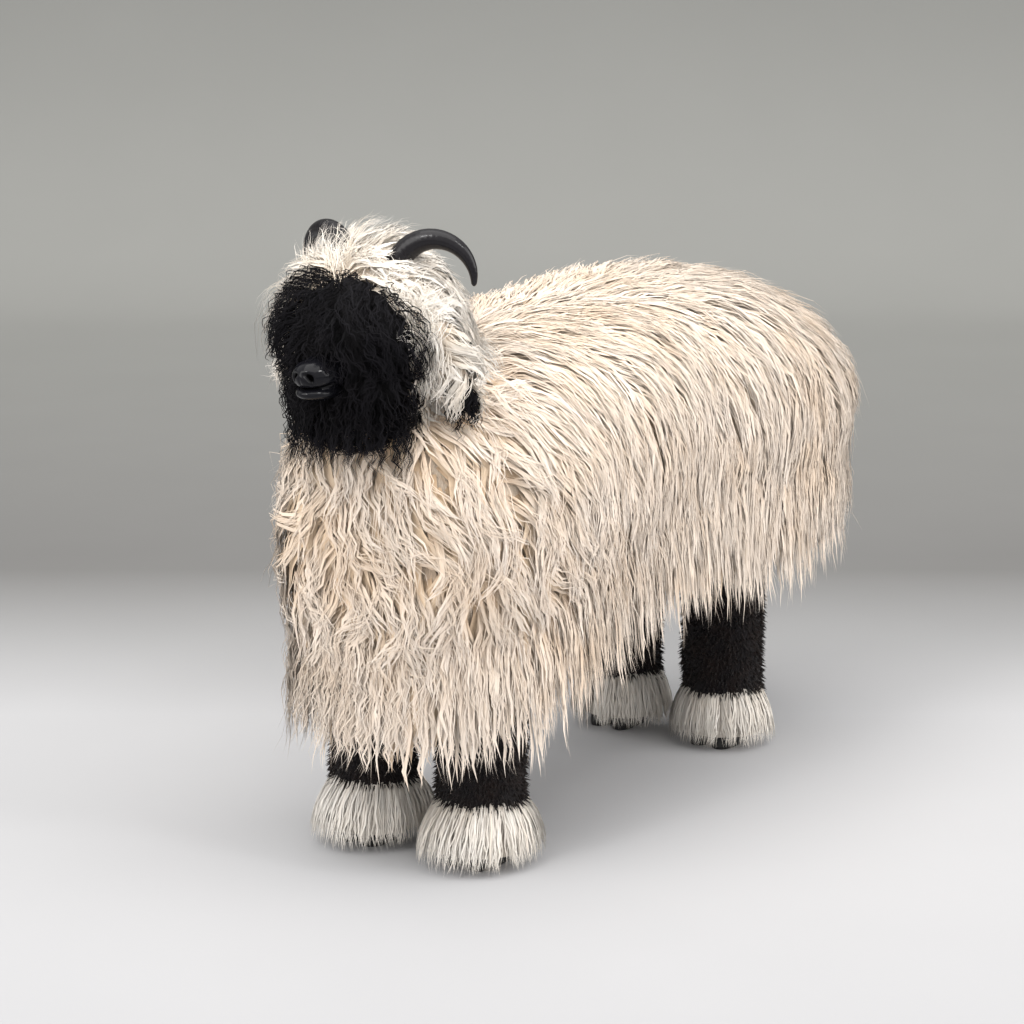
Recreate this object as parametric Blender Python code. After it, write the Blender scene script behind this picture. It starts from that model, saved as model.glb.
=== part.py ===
"""A blacknose sheep made as a sheepskin-covered display figure, standing on four hooves.

Units are metres, +Z is up, the figure faces -Y and its own left side is at +X.
The origin is on the floor, under the middle of the figure's box.
"""

import math
import random

import bmesh
import bpy
from mathutils import Matrix, Vector
from mathutils.bvhtree import BVHTree

# Gap left between two nodes that meet.
GAP = 0.0003

# Shape of every lock: shares of its length where it has a section, and the section's size there.
LOCK_SHARES = (0.0, 0.28, 0.56, 0.80)
LOCK_SIZES = (0.75, 1.0, 0.92, 0.58)

# Below this upright share of the surface's direction a lock leaves the body and hangs down.
HANG_BELOW = -0.30

# A lock grown for cutting a neighbour is wider by this many gaps, as its edges are sharp.
LOCK_EDGE_ROOM = 6

# Random draws made for each spot that a surface has room for, and for the hem's row.
DRAWS_A_SPOT = 30
HEM_DRAWS = 400

# Seeds of the random draws.
SEEDS = {
    "torso": 11,
    "hem": 13,
    "head": 23,
    "face": 5,
    "beard": 7,
    "neck": 31,
    "ear": 41,
    "tail": 53,
    "front tuft": 60,
    "rear tuft": 70,
}

# Share of its radius by which a curl's centre lies under the coat's outside.
CURL_SINK = 0.72

# Lie of the coat: outward and rearward shares against 1 downward, and where they change.
LIE_OUTWARD = 0.45
LIE_HEAD_OUTWARD = 0.40
LIE_BACK = 0.12
LIE_BACK_ON_TOP = 0.95
RIDGE_HALF_WIDTH = 0.05
CREST_HALF_WIDTH = 0.04
CHEST_Y = -0.33

# Legs: where they stand, and their upright sizes.
LEG_SPACING = 0.155
LEG_FRONT_Y = -0.267
LEG_REAR_Y = 0.296
LEG_RADIUS = 0.054
LEG_TOP = 0.34
CUFF_HEIGHT = 0.088
PASTERN_LOW = 0.042

# Coat of the torso, out to the hair tips: y, half width, low z, high z, squareness.
TORSO_STATIONS = (
    (-0.408, 0.088, 0.190, 0.505, 2.2),
    (-0.383, 0.128, 0.160, 0.558, 2.3),
    (-0.337, 0.154, 0.145, 0.596, 2.4),
    (-0.265, 0.177, 0.138, 0.616, 2.5),
    (-0.184, 0.193, 0.175, 0.624, 2.5),
    (-0.082, 0.200, 0.218, 0.632, 2.5),
    (0.020, 0.205, 0.240, 0.638, 2.4),
    (0.122, 0.209, 0.240, 0.643, 2.4),
    (0.224, 0.213, 0.226, 0.643, 2.3),
    (0.326, 0.213, 0.226, 0.628, 2.2),
    (0.410, 0.203, 0.250, 0.600, 2.2),
    (0.480, 0.178, 0.285, 0.560, 2.1),
    (0.524, 0.130, 0.325, 0.505, 2.0),
)
TORSO_ENDS = (-0.418, 0.536)
TORSO_CORE_DEPTH = 0.022
TORSO_BELLY_LIFT = 0.050
TORSO_LOCK = {"spacing": 0.090, "length": 0.152, "width": 0.070, "thick": 0.013, "depth": 0.034}
HEM_LINE = (
    (-0.430, 0.140),
    (-0.265, 0.136),
    (-0.184, 0.172),
    (-0.082, 0.215),
    (0.020, 0.238),
    (0.224, 0.226),
    (0.326, 0.224),
    (0.540, 0.262),
)
HEM_LOCK = {"spacing": 0.058, "width": 0.060, "thick": 0.012, "depth": 0.024}
HEM_ROOT_HEIGHT = 0.140
HEM_MIDDLE = 0.055
HEM_HALF_RUN = 0.30
HEM_END_RADIUS = 0.16

# Head, and the plane that parts the black face from the cream head.
HEAD_CENTRE = Vector((0.0, -0.350, 0.636))
HEAD_RADII = Vector((0.107, 0.117, 0.112))
FACE_CENTRE = Vector((0.0, -0.405, 0.618))
FACE_RADII = Vector((0.107, 0.074, 0.108))
FACE_TOP = Vector((0.0, -0.413, 0.715))
FACE_CHIN = Vector((0.0, -0.362, 0.510))
NECK_CENTRE = Vector((0.0, -0.285, 0.570))
NECK_RADII = Vector((0.105, 0.095, 0.068))
HEAD_CORE_DEPTH = 0.012
FACE_CORE_DEPTH = 0.014
NECK_CORE_DEPTH = 0.014
HEAD_LOCK = {"spacing": 0.058, "length": 0.080, "width": 0.050, "thick": 0.009, "depth": 0.022}
NECK_LOCK = {"spacing": 0.070, "length": 0.085, "width": 0.062, "thick": 0.010, "depth": 0.024}
CURL_SPACING = 0.0425
CURL_RADIUS = 0.0260
BEARD_LOCKS = 9
BEARD_ROOT = Vector((0.085, -0.070, -0.055))
BEARD_LOCK = {"length": 0.052, "width": 0.030, "thick": 0.008, "depth": 0.022}

# Moulded muzzle with its nostrils and mouth.
MUZZLE_CENTRE = Vector((0.0, -0.460, 0.604))
MUZZLE_RADII = Vector((0.0265, 0.0420, 0.0205))
LIP_CENTRE = Vector((0.0, -0.459, 0.5845))
LIP_RADII = Vector((0.0225, 0.0385, 0.0098))
NOSTRIL_OFFSET = Vector((0.0105, -0.0355, 0.0010))
NOSTRIL_RADII = Vector((0.0034, 0.0090, 0.0058))
NOSTRIL_LEAN = math.radians(-35)

# Horns: a crescent that rises outwards and comes down behind.
HORN_CENTRE = Vector((0.074, -0.351, 0.699))
HORN_SWEEP = 0.045
HORN_TURN = math.radians(21)
HORN_FROM = math.radians(205)
HORN_TO = math.radians(-4)
HORN_THICK = 0.0145
HORN_TIP = 0.0040
HORN_TAPER = 2.2

# Sections of a hanging leaf, for the ears and the tail: share of its length, and size there.
LEAF_SECTIONS = ((0.06, 0.55), (0.25, 0.85), (0.5, 1.0), (0.75, 0.9), (0.93, 0.5))

# Ears hang behind the cheeks.
EAR_ROOT = Vector((0.092, -0.372, 0.668))
EAR_TIP = Vector((0.124, -0.352, 0.546))
EAR_HALF_WIDTH = 0.021
EAR_HALF_THICK = 0.013
EAR_CORE_DEPTH = 0.002
EAR_CURL_SPACING = 0.036
EAR_CURL_RADIUS = 0.0115

# Tail, a hanging brush on the rump.
TAIL_ROOT = Vector((0.0, 0.500, 0.470))
TAIL_TIP = Vector((0.0, 0.522, 0.215))
TAIL_HALF_WIDTH = 0.040
TAIL_HALF_THICK = 0.024
TAIL_CORE_DEPTH = 0.010
TAIL_LOCK = {"spacing": 0.056, "length": 0.085, "width": 0.042, "thick": 0.009, "depth": 0.018}

# Fetlock tuft and hoof.
TUFT_HALF_WIDTH = 0.0700
TUFT_FRONT_HALF_LENGTH = 0.084
TUFT_REAR_HALF_LENGTH = 0.064
TUFT_LOW = 0.004
TUFT_LOCKS = 10
TUFT_LOCK_DEPTH = 0.012
TUFT_CORE_REACH = 0.40
TUFT_CORE_END = 0.80
TUFT_LOCK_WIDTH = 0.038
TUFT_LOCK_THICK = 0.0062
TOE_OFFSET = 0.0165
TOE_LENGTH = 0.036
TOE_SIDES = 10


def clear_scene():
    for thing in list(bpy.data.objects):
        bpy.data.objects.remove(thing, do_unlink=True)


def make_material(name, colour, roughness, metallic=0.0):
    material = bpy.data.materials.new(name)
    material.use_nodes = True
    shader = material.node_tree.nodes["Principled BSDF"]
    shader.inputs["Base Color"].default_value = (*colour, 1.0)
    shader.inputs["Roughness"].default_value = roughness
    shader.inputs["Metallic"].default_value = metallic
    return material


def face_rank(face, count):
    """A number that puts the faces of a mesh in the same order on every run."""
    first, second, third = sorted(vert.index for vert in face.verts)[:3]
    return (first * count + second) * count + third


def add_object(name, bm):
    """Puts a bmesh in the scene as an object at the origin, shaded smooth over soft edges."""
    if bm.calc_volume(signed=True) < 0:
        bmesh.ops.reverse_faces(bm, faces=bm.faces)
    bm.verts.index_update()
    bm.faces.sort(key=lambda face: face_rank(face, len(bm.verts)))
    mesh = bpy.data.meshes.new(name)
    bm.to_mesh(mesh)
    bm.free()
    mesh.shade_smooth()
    mesh.set_sharp_from_angle(angle=math.radians(50))
    thing = bpy.data.objects.new(name, mesh)
    FIGURE.objects.link(thing)
    return thing


def superellipse(angle, power):
    """A point on a rounded square of half size 1."""
    c, s = math.cos(angle), math.sin(angle)
    return (
        math.copysign(abs(c) ** (2 / power), c),
        math.copysign(abs(s) ** (2 / power), s),
    )


def add_band(bm, low, high):
    """Triangles between two rings, split the same way all round."""
    count = len(low)
    for i in range(count):
        j = (i + 1) % count
        bm.faces.new((low[i], low[j], high[j]))
        bm.faces.new((low[i], high[j], high[i]))


def loft(name, rings, ends):
    """A closed form through rings of points, with a pole at each end."""
    bm = bmesh.new()
    rows = [[bm.verts.new(p) for p in ring] for ring in rings]
    first, last = (bm.verts.new(p) for p in ends)
    count = len(rows[0])
    for i in range(count):
        j = (i + 1) % count
        bm.faces.new((first, rows[0][j], rows[0][i]))
        bm.faces.new((last, rows[-1][i], rows[-1][j]))
    for low, high in zip(rows, rows[1:]):
        add_band(bm, low, high)
    return add_object(name, bm)


def ellipsoid(name, centre, radii, grow=0.0, turn=None, across=18, up=12):
    bm = bmesh.new()
    bmesh.ops.create_uvsphere(bm, u_segments=across, v_segments=up, radius=1.0)
    size = Matrix.Diagonal((*(r + grow for r in radii), 1.0))
    place = Matrix.Translation(centre) @ (turn or Matrix.Identity(4)) @ size
    bm.transform(place)
    return add_object(name, bm)


def boolean(target, others, operation, solver="MANIFOLD"):
    """Joins or cuts target with all the others at once, applies it and removes them."""
    group = bpy.data.collections.new(target.name + "_pieces")
    bpy.context.scene.collection.children.link(group)
    for other in others:
        FIGURE.objects.unlink(other)
        group.objects.link(other)
    modifier = target.modifiers.new("Boolean", "BOOLEAN")
    modifier.operation = operation
    modifier.operand_type = "COLLECTION"
    modifier.collection = group
    modifier.solver = solver
    graph = bpy.context.evaluated_depsgraph_get()
    mesh = bpy.data.meshes.new_from_object(target.evaluated_get(graph))
    target.modifiers.clear()
    target.data = mesh
    for other in others:
        bpy.data.objects.remove(other)
    bpy.data.collections.remove(group)
    return target


def join(target, others, solver="MANIFOLD"):
    return boolean(target, others, "UNION", solver)


def cut(target, others, solver="MANIFOLD"):
    return boolean(target, others, "DIFFERENCE", solver)


def finish(thing, material):
    """Keeps the largest closed surface of a node and gives it its material."""
    bm = bmesh.new()
    bm.from_mesh(thing.data)
    bmesh.ops.triangulate(bm, faces=bm.faces)
    waiting = set(bm.faces)
    shells = []
    while waiting:
        stack = [waiting.pop()]
        shell = list(stack)
        while stack:
            for edge in stack.pop().edges:
                for face in edge.link_faces:
                    if face in waiting:
                        waiting.remove(face)
                        stack.append(face)
                        shell.append(face)
        shells.append(shell)
    shells.sort(key=shell_volume)
    dropped = [face for shell in shells[:-1] for face in shell]
    bmesh.ops.delete(bm, geom=dropped, context="FACES")
    bmesh.ops.delete(bm, geom=[v for v in bm.verts if not v.link_faces], context="VERTS")
    bm.to_mesh(thing.data)
    bm.free()
    thing.data.materials.clear()
    thing.data.materials.append(material)
    thing.data.shade_smooth()
    thing.data.set_sharp_from_angle(angle=math.radians(50))
    return thing


def shell_volume(faces):
    total = 0.0
    for face in faces:
        a, b, c = (v.co for v in face.verts)
        total += a.dot(b.cross(c)) / 6
    return total


def tapered_column(name, centre, low, high, low_radius, high_radius, sides=20):
    """An upright round piece between two heights."""
    bm = bmesh.new()
    bmesh.ops.create_cone(
        bm,
        cap_ends=True,
        segments=sides,
        radius1=low_radius,
        radius2=high_radius,
        depth=high - low,
    )
    bm.transform(Matrix.Translation((centre[0], centre[1], (low + high) / 2)))
    return add_object(name, bm)


def scatter(surface, spacing, draw, wanted):
    """Even spots over a surface: random draws, less those too near one that is kept."""
    mesh = surface.data
    fans = []
    for face in mesh.polygons:
        ring = list(face.vertices)
        start = ring.index(min(ring))
        ring = ring[start:] + ring[:start]
        fans += [(ring[0], i, j) for i, j in zip(ring[1:], ring[2:])]
    corners = [[mesh.vertices[i].co.copy() for i in fan] for fan in sorted(fans)]
    outward = [(b - a).cross(c - a).normalized() for a, b, c in corners]
    areas = [(b - a).cross(c - a).length / 2 for a, b, c in corners]
    spots = []
    tries = int(DRAWS_A_SPOT * sum(areas) / spacing**2)
    for index in draw.choices(range(len(corners)), areas, k=tries):
        low, high = sorted((draw.random(), draw.random()))
        a, b, c = corners[index]
        place = a * low + b * (high - low) + c * (1 - high)
        near = any((place - other).length < spacing for other, _ in spots)
        if not near and wanted(place, outward[index]):
            spots.append((place, outward[index]))
    return spots


def lie_path(tree, place, normal, lie, length, depth):
    """Points of a lock that starts inside the core and rises to the coat's outside at its tip."""
    path = []
    shares = LOCK_SHARES + (1.0,)
    for share, ahead in zip(shares, shares[1:] + (1.0,)):
        path.append((place - normal * depth * (1 - share) ** 1.5, normal))
        step = length * (ahead - share)
        way = lie(place, normal)
        way = (way - normal * way.dot(normal)).normalized()
        if normal.z < HANG_BELOW:
            place = place + Vector((0.0, 0.0, -step))
        elif step:
            place, turned, _, _ = tree.find_nearest(place + way * step)
            normal = (normal + turned).normalized()
    return path


def lock(path, width, thick, sway, grow):
    """A flat tapered lock with a low ridge along its outside, closed at the root and the tip."""
    bm = bmesh.new()
    rows = []
    count = len(path) - 1
    for index, size in enumerate(LOCK_SIZES):
        place, normal = path[index]
        along = (path[index + 1][0] - path[max(index - 1, 0)][0]).normalized()
        side = along.cross(normal).normalized()
        place = place + side * sway * math.sin(math.pi * 2 * index / count)
        if index == 0:
            place = place - along * grow
        half = side * (width * size / 2 + grow * LOCK_EDGE_ROOM)
        low = normal * grow
        ridge = normal * (thick * size + grow * 2)
        rows.append([bm.verts.new(p) for p in (place - half - low, place + half - low, place + ridge)])
    end = path[-1][0]
    tip = bm.verts.new(end + (end - path[-2][0]).normalized() * grow * LOCK_EDGE_ROOM)
    bm.faces.new(reversed(rows[0]))
    for low, high in zip(rows, rows[1:]):
        add_band(bm, low, high)
    for i in range(3):
        bm.faces.new((rows[-1][i], rows[-1][(i + 1) % 3], tip))
    return add_object("lock", bm)


def surface_tree(surface):
    bm = bmesh.new()
    bm.from_mesh(surface.data)
    tree = BVHTree.FromBMesh(bm)
    bm.free()
    return tree


def locks_over(surface, sizes, seed, lie, wanted, reach=None, grow=0.0):
    """Locks spread evenly over a surface, each laid along the lie of the coat."""
    draw = random.Random(seed)
    tree = surface_tree(surface)
    pieces = []
    for place, normal in scatter(surface, sizes["spacing"], draw, wanted):
        length = sizes["length"] * draw.uniform(0.88, 1.12)
        width = sizes["width"] * draw.uniform(0.88, 1.12)
        sway = sizes["width"] * draw.uniform(-0.12, 0.12)
        if reach:
            length = min(length, reach(place) + draw.uniform(-0.012, 0.004))
        path = lie_path(tree, place, normal, lie, length, sizes["depth"])
        pieces.append(lock(path, width, sizes["thick"], sway, grow))
    return pieces


def curls_over(surface, spacing, radius, seed, wanted, grow=0.0):
    """Rounded clumps of curled wool set close over a surface."""
    draw = random.Random(seed)
    pieces = []
    for place, normal in scatter(surface, spacing, draw, wanted):
        size = radius * draw.uniform(0.85, 1.12)
        radii = (size, size, size * draw.uniform(1.0, 1.25))
        turn = Matrix.Rotation(draw.uniform(0, math.pi), 4, normal)
        centre = place - normal * size * CURL_SINK
        pieces.append(ellipsoid("curl", centre, radii, grow, turn, 7, 4))
    return pieces


def in_ellipsoid(place, centre, radii, margin):
    d = place - centre
    return sum((d[i] / (radii[i] + margin)) ** 2 for i in range(3)) < 1


def torso_form(grow=0.0, lift=0.0):
    around = 22
    rings = []
    for y, half, low, high, power in TORSO_STATIONS:
        low += lift
        middle, tall = (low + high) / 2, (high - low) / 2
        ring = []
        for i in range(around):
            x, z = superellipse(2 * math.pi * i / around, power)
            ring.append((x * (half + grow), y, middle + z * (tall + grow)))
        rings.append(ring)
    first, last = TORSO_STATIONS[0], TORSO_STATIONS[-1]
    ends = [
        (0.0, TORSO_ENDS[0] - grow, (first[2] + first[3]) / 2),
        (0.0, TORSO_ENDS[1] + grow, (last[2] + last[3]) / 2),
    ]
    return loft("torso", rings, ends)


def hem(y):
    """Height of the coat's lower edge at a place along the body."""
    for near, far in zip(HEM_LINE, HEM_LINE[1:]):
        if y < far[0]:
            share = max((y - near[0]) / (far[0] - near[0]), 0.0)
            return near[1] + (far[1] - near[1]) * share
    return HEM_LINE[-1][1]


def torso_lie(place, normal):
    """The hair runs back and outwards along the ridge and straight down the flanks and chest."""
    side = min(max(place.x / RIDGE_HALF_WIDTH, -1.0), 1.0)
    back = LIE_BACK + LIE_BACK_ON_TOP * max(normal.z, 0.0)
    if place.y < CHEST_Y:
        back = 0.0
    return Vector((LIE_OUTWARD * side, back, -1.0))


def torso_wanted(place, normal):
    hidden = in_ellipsoid(place, NECK_CENTRE, NECK_RADII, -0.010)
    hidden = hidden or in_ellipsoid(place, HEAD_CENTRE, HEAD_RADII, -0.005)
    behind_tail = place.y > 0.46 and abs(place.x) < TAIL_HALF_WIDTH * 0.6 and place.z < TAIL_ROOT.z
    above_hem = place.z > hem(place.y) + HEM_ROOT_HEIGHT + 0.03
    return above_hem and not hidden and not behind_tail


def hem_locks(tree, draw):
    """The lowest row, which hangs straight down all round the body and ends in a ragged edge."""
    places = []
    pieces = []
    for i in range(HEM_DRAWS):
        angle = 2 * math.pi * i / HEM_DRAWS
        way = Vector((math.cos(angle), math.sin(angle), 0.0))
        origin = Vector((0.0, HEM_MIDDLE + HEM_HALF_RUN * way.y, 0.0))
        origin.z = hem(origin.y + way.y * HEM_END_RADIUS) + HEM_ROOT_HEIGHT
        place, normal, _, _ = tree.ray_cast(origin, way)
        if any((place - other).length < HEM_LOCK["spacing"] for other in places):
            continue
        places.append(place)
        outward = Vector((normal.x, normal.y, 0.0)).normalized()
        length = place.z - hem(place.y) + draw.uniform(-0.012, 0.008)
        path = []
        for share in LOCK_SHARES + (1.0,):
            sunk = outward * HEM_LOCK["depth"] * (1 - share) ** 1.5
            path.append((place - sunk - Vector((0.0, 0.0, length * share)), outward))
        sway = draw.uniform(-0.006, 0.006)
        pieces.append(lock(path, HEM_LOCK["width"], HEM_LOCK["thick"], sway, 0.0))
    return pieces


def torso():
    envelope = torso_form()

    def room_below(place):
        return 1.0 if place.z > 0.45 else place.z - hem(place.y) + 0.004

    pieces = locks_over(envelope, TORSO_LOCK, SEEDS["torso"], torso_lie, torso_wanted, room_below)
    pieces += hem_locks(surface_tree(envelope), random.Random(SEEDS["hem"]))
    bpy.data.objects.remove(envelope)
    return join(torso_form(-TORSO_CORE_DEPTH, TORSO_BELLY_LIFT), pieces)


def face_turn():
    """The rotation that lays the cutting box's -Y side on the plane between face and head."""
    rise = FACE_TOP - FACE_CHIN
    return Matrix.Rotation(math.atan2(-rise.y, rise.z), 4, "X")


def box_beyond_face_plane(name, side):
    """A box that fills the space in front of the face plane (side -1) or behind it (side 1)."""
    reach = 0.3
    bm = bmesh.new()
    bmesh.ops.create_cube(bm, size=2 * reach)
    middle = (FACE_TOP + FACE_CHIN) / 2
    shift = Matrix.Translation((0.0, side * (reach - GAP / 2), 0.0))
    bm.transform(Matrix.Translation(middle) @ face_turn() @ shift)
    return add_object(name, bm)


def beyond_face_plane(place):
    """How far a place lies behind the plane between face and head."""
    middle = (FACE_TOP + FACE_CHIN) / 2
    return (face_turn().to_3x3() @ Vector((0.0, 1.0, 0.0))).dot(place - middle)


def head_lie(place, normal):
    """Back over the crown, then down the cheeks and the nape."""
    side = min(max(place.x / CREST_HALF_WIDTH, -1.0), 1.0)
    back = LIE_BACK + LIE_BACK_ON_TOP * max(normal.z, 0.0)
    return Vector((LIE_HEAD_OUTWARD * side, back, -1.0))


def head_pieces(grow=0.0):
    """Core and locks of the cream head wool."""
    envelope = ellipsoid("envelope", HEAD_CENTRE, HEAD_RADII)

    def wanted(place, normal):
        hidden = in_ellipsoid(place, NECK_CENTRE, NECK_RADII, 0.004)
        return beyond_face_plane(place) > 0.008 and place.z > 0.57 and not hidden

    pieces = locks_over(envelope, HEAD_LOCK, SEEDS["head"], head_lie, wanted, None, grow)
    bpy.data.objects.remove(envelope)
    core = ellipsoid("head", HEAD_CENTRE, HEAD_RADII, grow - HEAD_CORE_DEPTH)
    return [core] + pieces


def face_pieces(grow=0.0):
    """Core, curls and beard of the black face."""
    envelope = ellipsoid("envelope", FACE_CENTRE, FACE_RADII)

    def wanted(place, normal):
        in_muzzle = in_ellipsoid(place, MUZZLE_CENTRE, MUZZLE_RADII, 0.008)
        return beyond_face_plane(place) < -0.004 and place.z > 0.545 and not in_muzzle

    pieces = curls_over(envelope, CURL_SPACING, CURL_RADIUS, SEEDS["face"], wanted, grow)
    tree = surface_tree(envelope)
    draw = random.Random(SEEDS["beard"])
    for i in range(BEARD_LOCKS):
        angle = math.pi * (0.5 + i) / BEARD_LOCKS
        root = FACE_CENTRE + BEARD_ROOT * Vector((math.cos(angle), math.sin(angle), 1.0))
        place, normal, _, _ = tree.find_nearest(root)
        length = BEARD_LOCK["length"] * draw.uniform(0.85, 1.1)
        path = lie_path(tree, place, normal, hanging_lie, length, BEARD_LOCK["depth"])
        sway = draw.uniform(-0.004, 0.004)
        pieces.append(lock(path, BEARD_LOCK["width"], BEARD_LOCK["thick"], sway, grow))
    bpy.data.objects.remove(envelope)
    core = ellipsoid("face", FACE_CENTRE, FACE_RADII, grow - FACE_CORE_DEPTH)
    return [core] + pieces


def hanging_lie(place, normal):
    return Vector((0.0, 0.0, -1.0))


def neck_pieces(grow=0.0):
    envelope = ellipsoid("envelope", NECK_CENTRE, NECK_RADII)

    def wanted(place, normal):
        hidden = in_ellipsoid(place, HEAD_CENTRE, HEAD_RADII, 0.004)
        return not hidden and place.y > -0.32 and place.z > 0.58

    pieces = locks_over(envelope, NECK_LOCK, SEEDS["neck"], head_lie, wanted, None, grow)
    bpy.data.objects.remove(envelope)
    core = ellipsoid("neck", NECK_CENTRE, NECK_RADII, grow - NECK_CORE_DEPTH)
    return [core] + pieces


def muzzle(grow=0.0):
    nose = ellipsoid("muzzle", MUZZLE_CENTRE, MUZZLE_RADII, grow, None, 16, 10)
    lip = ellipsoid("lip", LIP_CENTRE, LIP_RADII, grow, None, 14, 8)
    return join(nose, [lip])


def nostrils():
    """Two short slanting holes in the front of the muzzle."""
    pieces = []
    for side in (-1, 1):
        centre = MUZZLE_CENTRE + NOSTRIL_OFFSET * Vector((side, 1.0, 1.0))
        turn = Matrix.Rotation(side * NOSTRIL_LEAN, 4, "Y")
        pieces.append(ellipsoid("nostril", centre, NOSTRIL_RADII, 0.0, turn, 10, 6))
    return pieces


def horn(side, grow=0.0):
    """A tapering crescent on a curve, in a plane turned a little to the back."""
    steps = 14
    curve = bpy.data.curves.new("horn", "CURVE")
    curve.dimensions = "3D"
    curve.bevel_depth = 1.0
    curve.bevel_resolution = 2
    curve.use_fill_caps = True
    spline = curve.splines.new("POLY")
    spline.points.add(steps)
    centre = Vector((side * HORN_CENTRE.x, HORN_CENTRE.y, HORN_CENTRE.z))
    out = Vector((side * math.cos(HORN_TURN), math.sin(HORN_TURN), 0.0))
    for i, point in enumerate(spline.points):
        share = i / steps
        angle = HORN_FROM + (HORN_TO - HORN_FROM) * share
        spot = centre + out * HORN_SWEEP * math.cos(angle)
        spot.z += HORN_SWEEP * math.sin(angle)
        point.co = (*spot, 1.0)
        point.radius = HORN_THICK + (HORN_TIP - HORN_THICK) * share**HORN_TAPER + grow
    thing = bpy.data.objects.new("horn_curve", curve)
    FIGURE.objects.link(thing)
    return curve_to_mesh(thing, "horn")


def curve_to_mesh(thing, name):
    graph = bpy.context.evaluated_depsgraph_get()
    mesh = bpy.data.meshes.new_from_object(thing.evaluated_get(graph))
    bm = bmesh.new()
    bm.from_mesh(mesh)
    bmesh.ops.remove_doubles(bm, verts=bm.verts, dist=1e-5)
    bpy.data.objects.remove(thing)
    return add_object(name, bm)


def hanging_leaf(name, root, tip, half_width, half_thick, across, grow=0.0):
    """A drooping flat form from root to tip; across is the direction of its width."""
    along = (tip - root).normalized()
    width = (across - along * across.dot(along)).normalized()
    thick = along.cross(width)
    rings = []
    for share, size in LEAF_SECTIONS:
        middle = root.lerp(tip, share)
        ring = []
        for i in range(12):
            u, v = superellipse(2 * math.pi * i / 12, 2.0)
            offset = width * u * (half_width * size + grow)
            offset += thick * v * (half_thick * size + grow)
            ring.append(middle + offset)
        rings.append(ring)
    return loft(name, rings, (root - along * grow, tip + along * grow))


def ear_form(side, grow=0.0):
    mirror = Vector((side, 1.0, 1.0))
    across = Vector((side * 0.2, 1.0, 0.0))
    return hanging_leaf(
        "ear", EAR_ROOT * mirror, EAR_TIP * mirror, EAR_HALF_WIDTH, EAR_HALF_THICK, across, grow
    )


def ear_pieces(side, grow=0.0):
    """A drooping leaf with curls over it."""
    envelope = ear_form(side)

    def wanted(place, normal):
        return place.z < EAR_ROOT.z - 0.02

    pieces = curls_over(envelope, EAR_CURL_SPACING, EAR_CURL_RADIUS, SEEDS["ear"], wanted, grow)
    bpy.data.objects.remove(envelope)
    return [ear_form(side, grow - EAR_CORE_DEPTH)] + pieces


def tail_form(grow=0.0):
    across = Vector((1.0, 0.0, 0.0))
    return hanging_leaf("tail", TAIL_ROOT, TAIL_TIP, TAIL_HALF_WIDTH, TAIL_HALF_THICK, across, grow)


def tail_pieces(grow=0.0):
    """A hanging brush with locks that end in a point."""
    envelope = tail_form()

    def wanted(place, normal):
        return place.z > TAIL_TIP.z + 0.04

    def room_below(place):
        return place.z - TAIL_TIP.z + 0.012

    pieces = locks_over(envelope, TAIL_LOCK, SEEDS["tail"], hanging_lie, wanted, room_below, grow)
    bpy.data.objects.remove(envelope)
    return [tail_form(grow - TAIL_CORE_DEPTH)] + pieces


def leg(spot, grow=0.0):
    return tapered_column(
        "leg", spot, CUFF_HEIGHT - grow, LEG_TOP + grow, LEG_RADIUS + grow, LEG_RADIUS + grow
    )


def toe(centre, grow=0.0):
    """One claw of a cloven hoof: flat sole, sloping front, narrowing upwards."""
    rings = []
    for z, half_x, half_y, shift in (
        (0.0, 0.0150, 1.00, -0.006),
        (0.020, 0.0158, 0.94, -0.003),
        (PASTERN_LOW - GAP, 0.0150, 0.72, 0.003),
    ):
        ring = []
        for i in range(TOE_SIDES):
            x, y = superellipse(2 * math.pi * i / TOE_SIDES, 2.4)
            ring.append(
                (
                    centre[0] + x * (half_x + grow),
                    centre[1] + shift + y * (half_y * TOE_LENGTH + grow),
                    z,
                )
            )
        rings.append(ring)
    rings[-1] = [(x, y, z + grow) for x, y, z in rings[-1]]
    bm = bmesh.new()
    rows = [[bm.verts.new(p) for p in ring] for ring in rings]
    bm.faces.new(reversed(rows[0]))
    bm.faces.new(rows[-1])
    for low, high in zip(rows, rows[1:]):
        add_band(bm, low, high)
    return add_object("toe", bm)


def hoof(spot, grow=0.0):
    claws = [toe((spot[0] + side * TOE_OFFSET, spot[1]), grow) for side in (-1, 1)]
    heel = tapered_column("heel", (spot[0], spot[1] + 0.008), 0.012, PASTERN_LOW - GAP + grow,
                          0.017 + grow, 0.022 + grow, 10)
    claws[0].name = "hoof"
    return join(claws[0], [claws[1], heel])


def tuft_spot(spot, share, angle, half_length, reach):
    """A place on the fetlock's dome: share 0 at the cuff and 1 at the floor."""
    swell = reach * math.sin(share * math.pi / 2)
    half_x = LEG_RADIUS * 0.9 + (TUFT_HALF_WIDTH - LEG_RADIUS * 0.9) * swell
    half_y = LEG_RADIUS * 0.9 + (half_length - LEG_RADIUS * 0.9) * swell
    z = (CUFF_HEIGHT - 0.006) + (TUFT_LOW - CUFF_HEIGHT + 0.006) * share**1.4
    return Vector((spot[0] + half_x * math.cos(angle), spot[1] + half_y * math.sin(angle), z))


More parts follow.
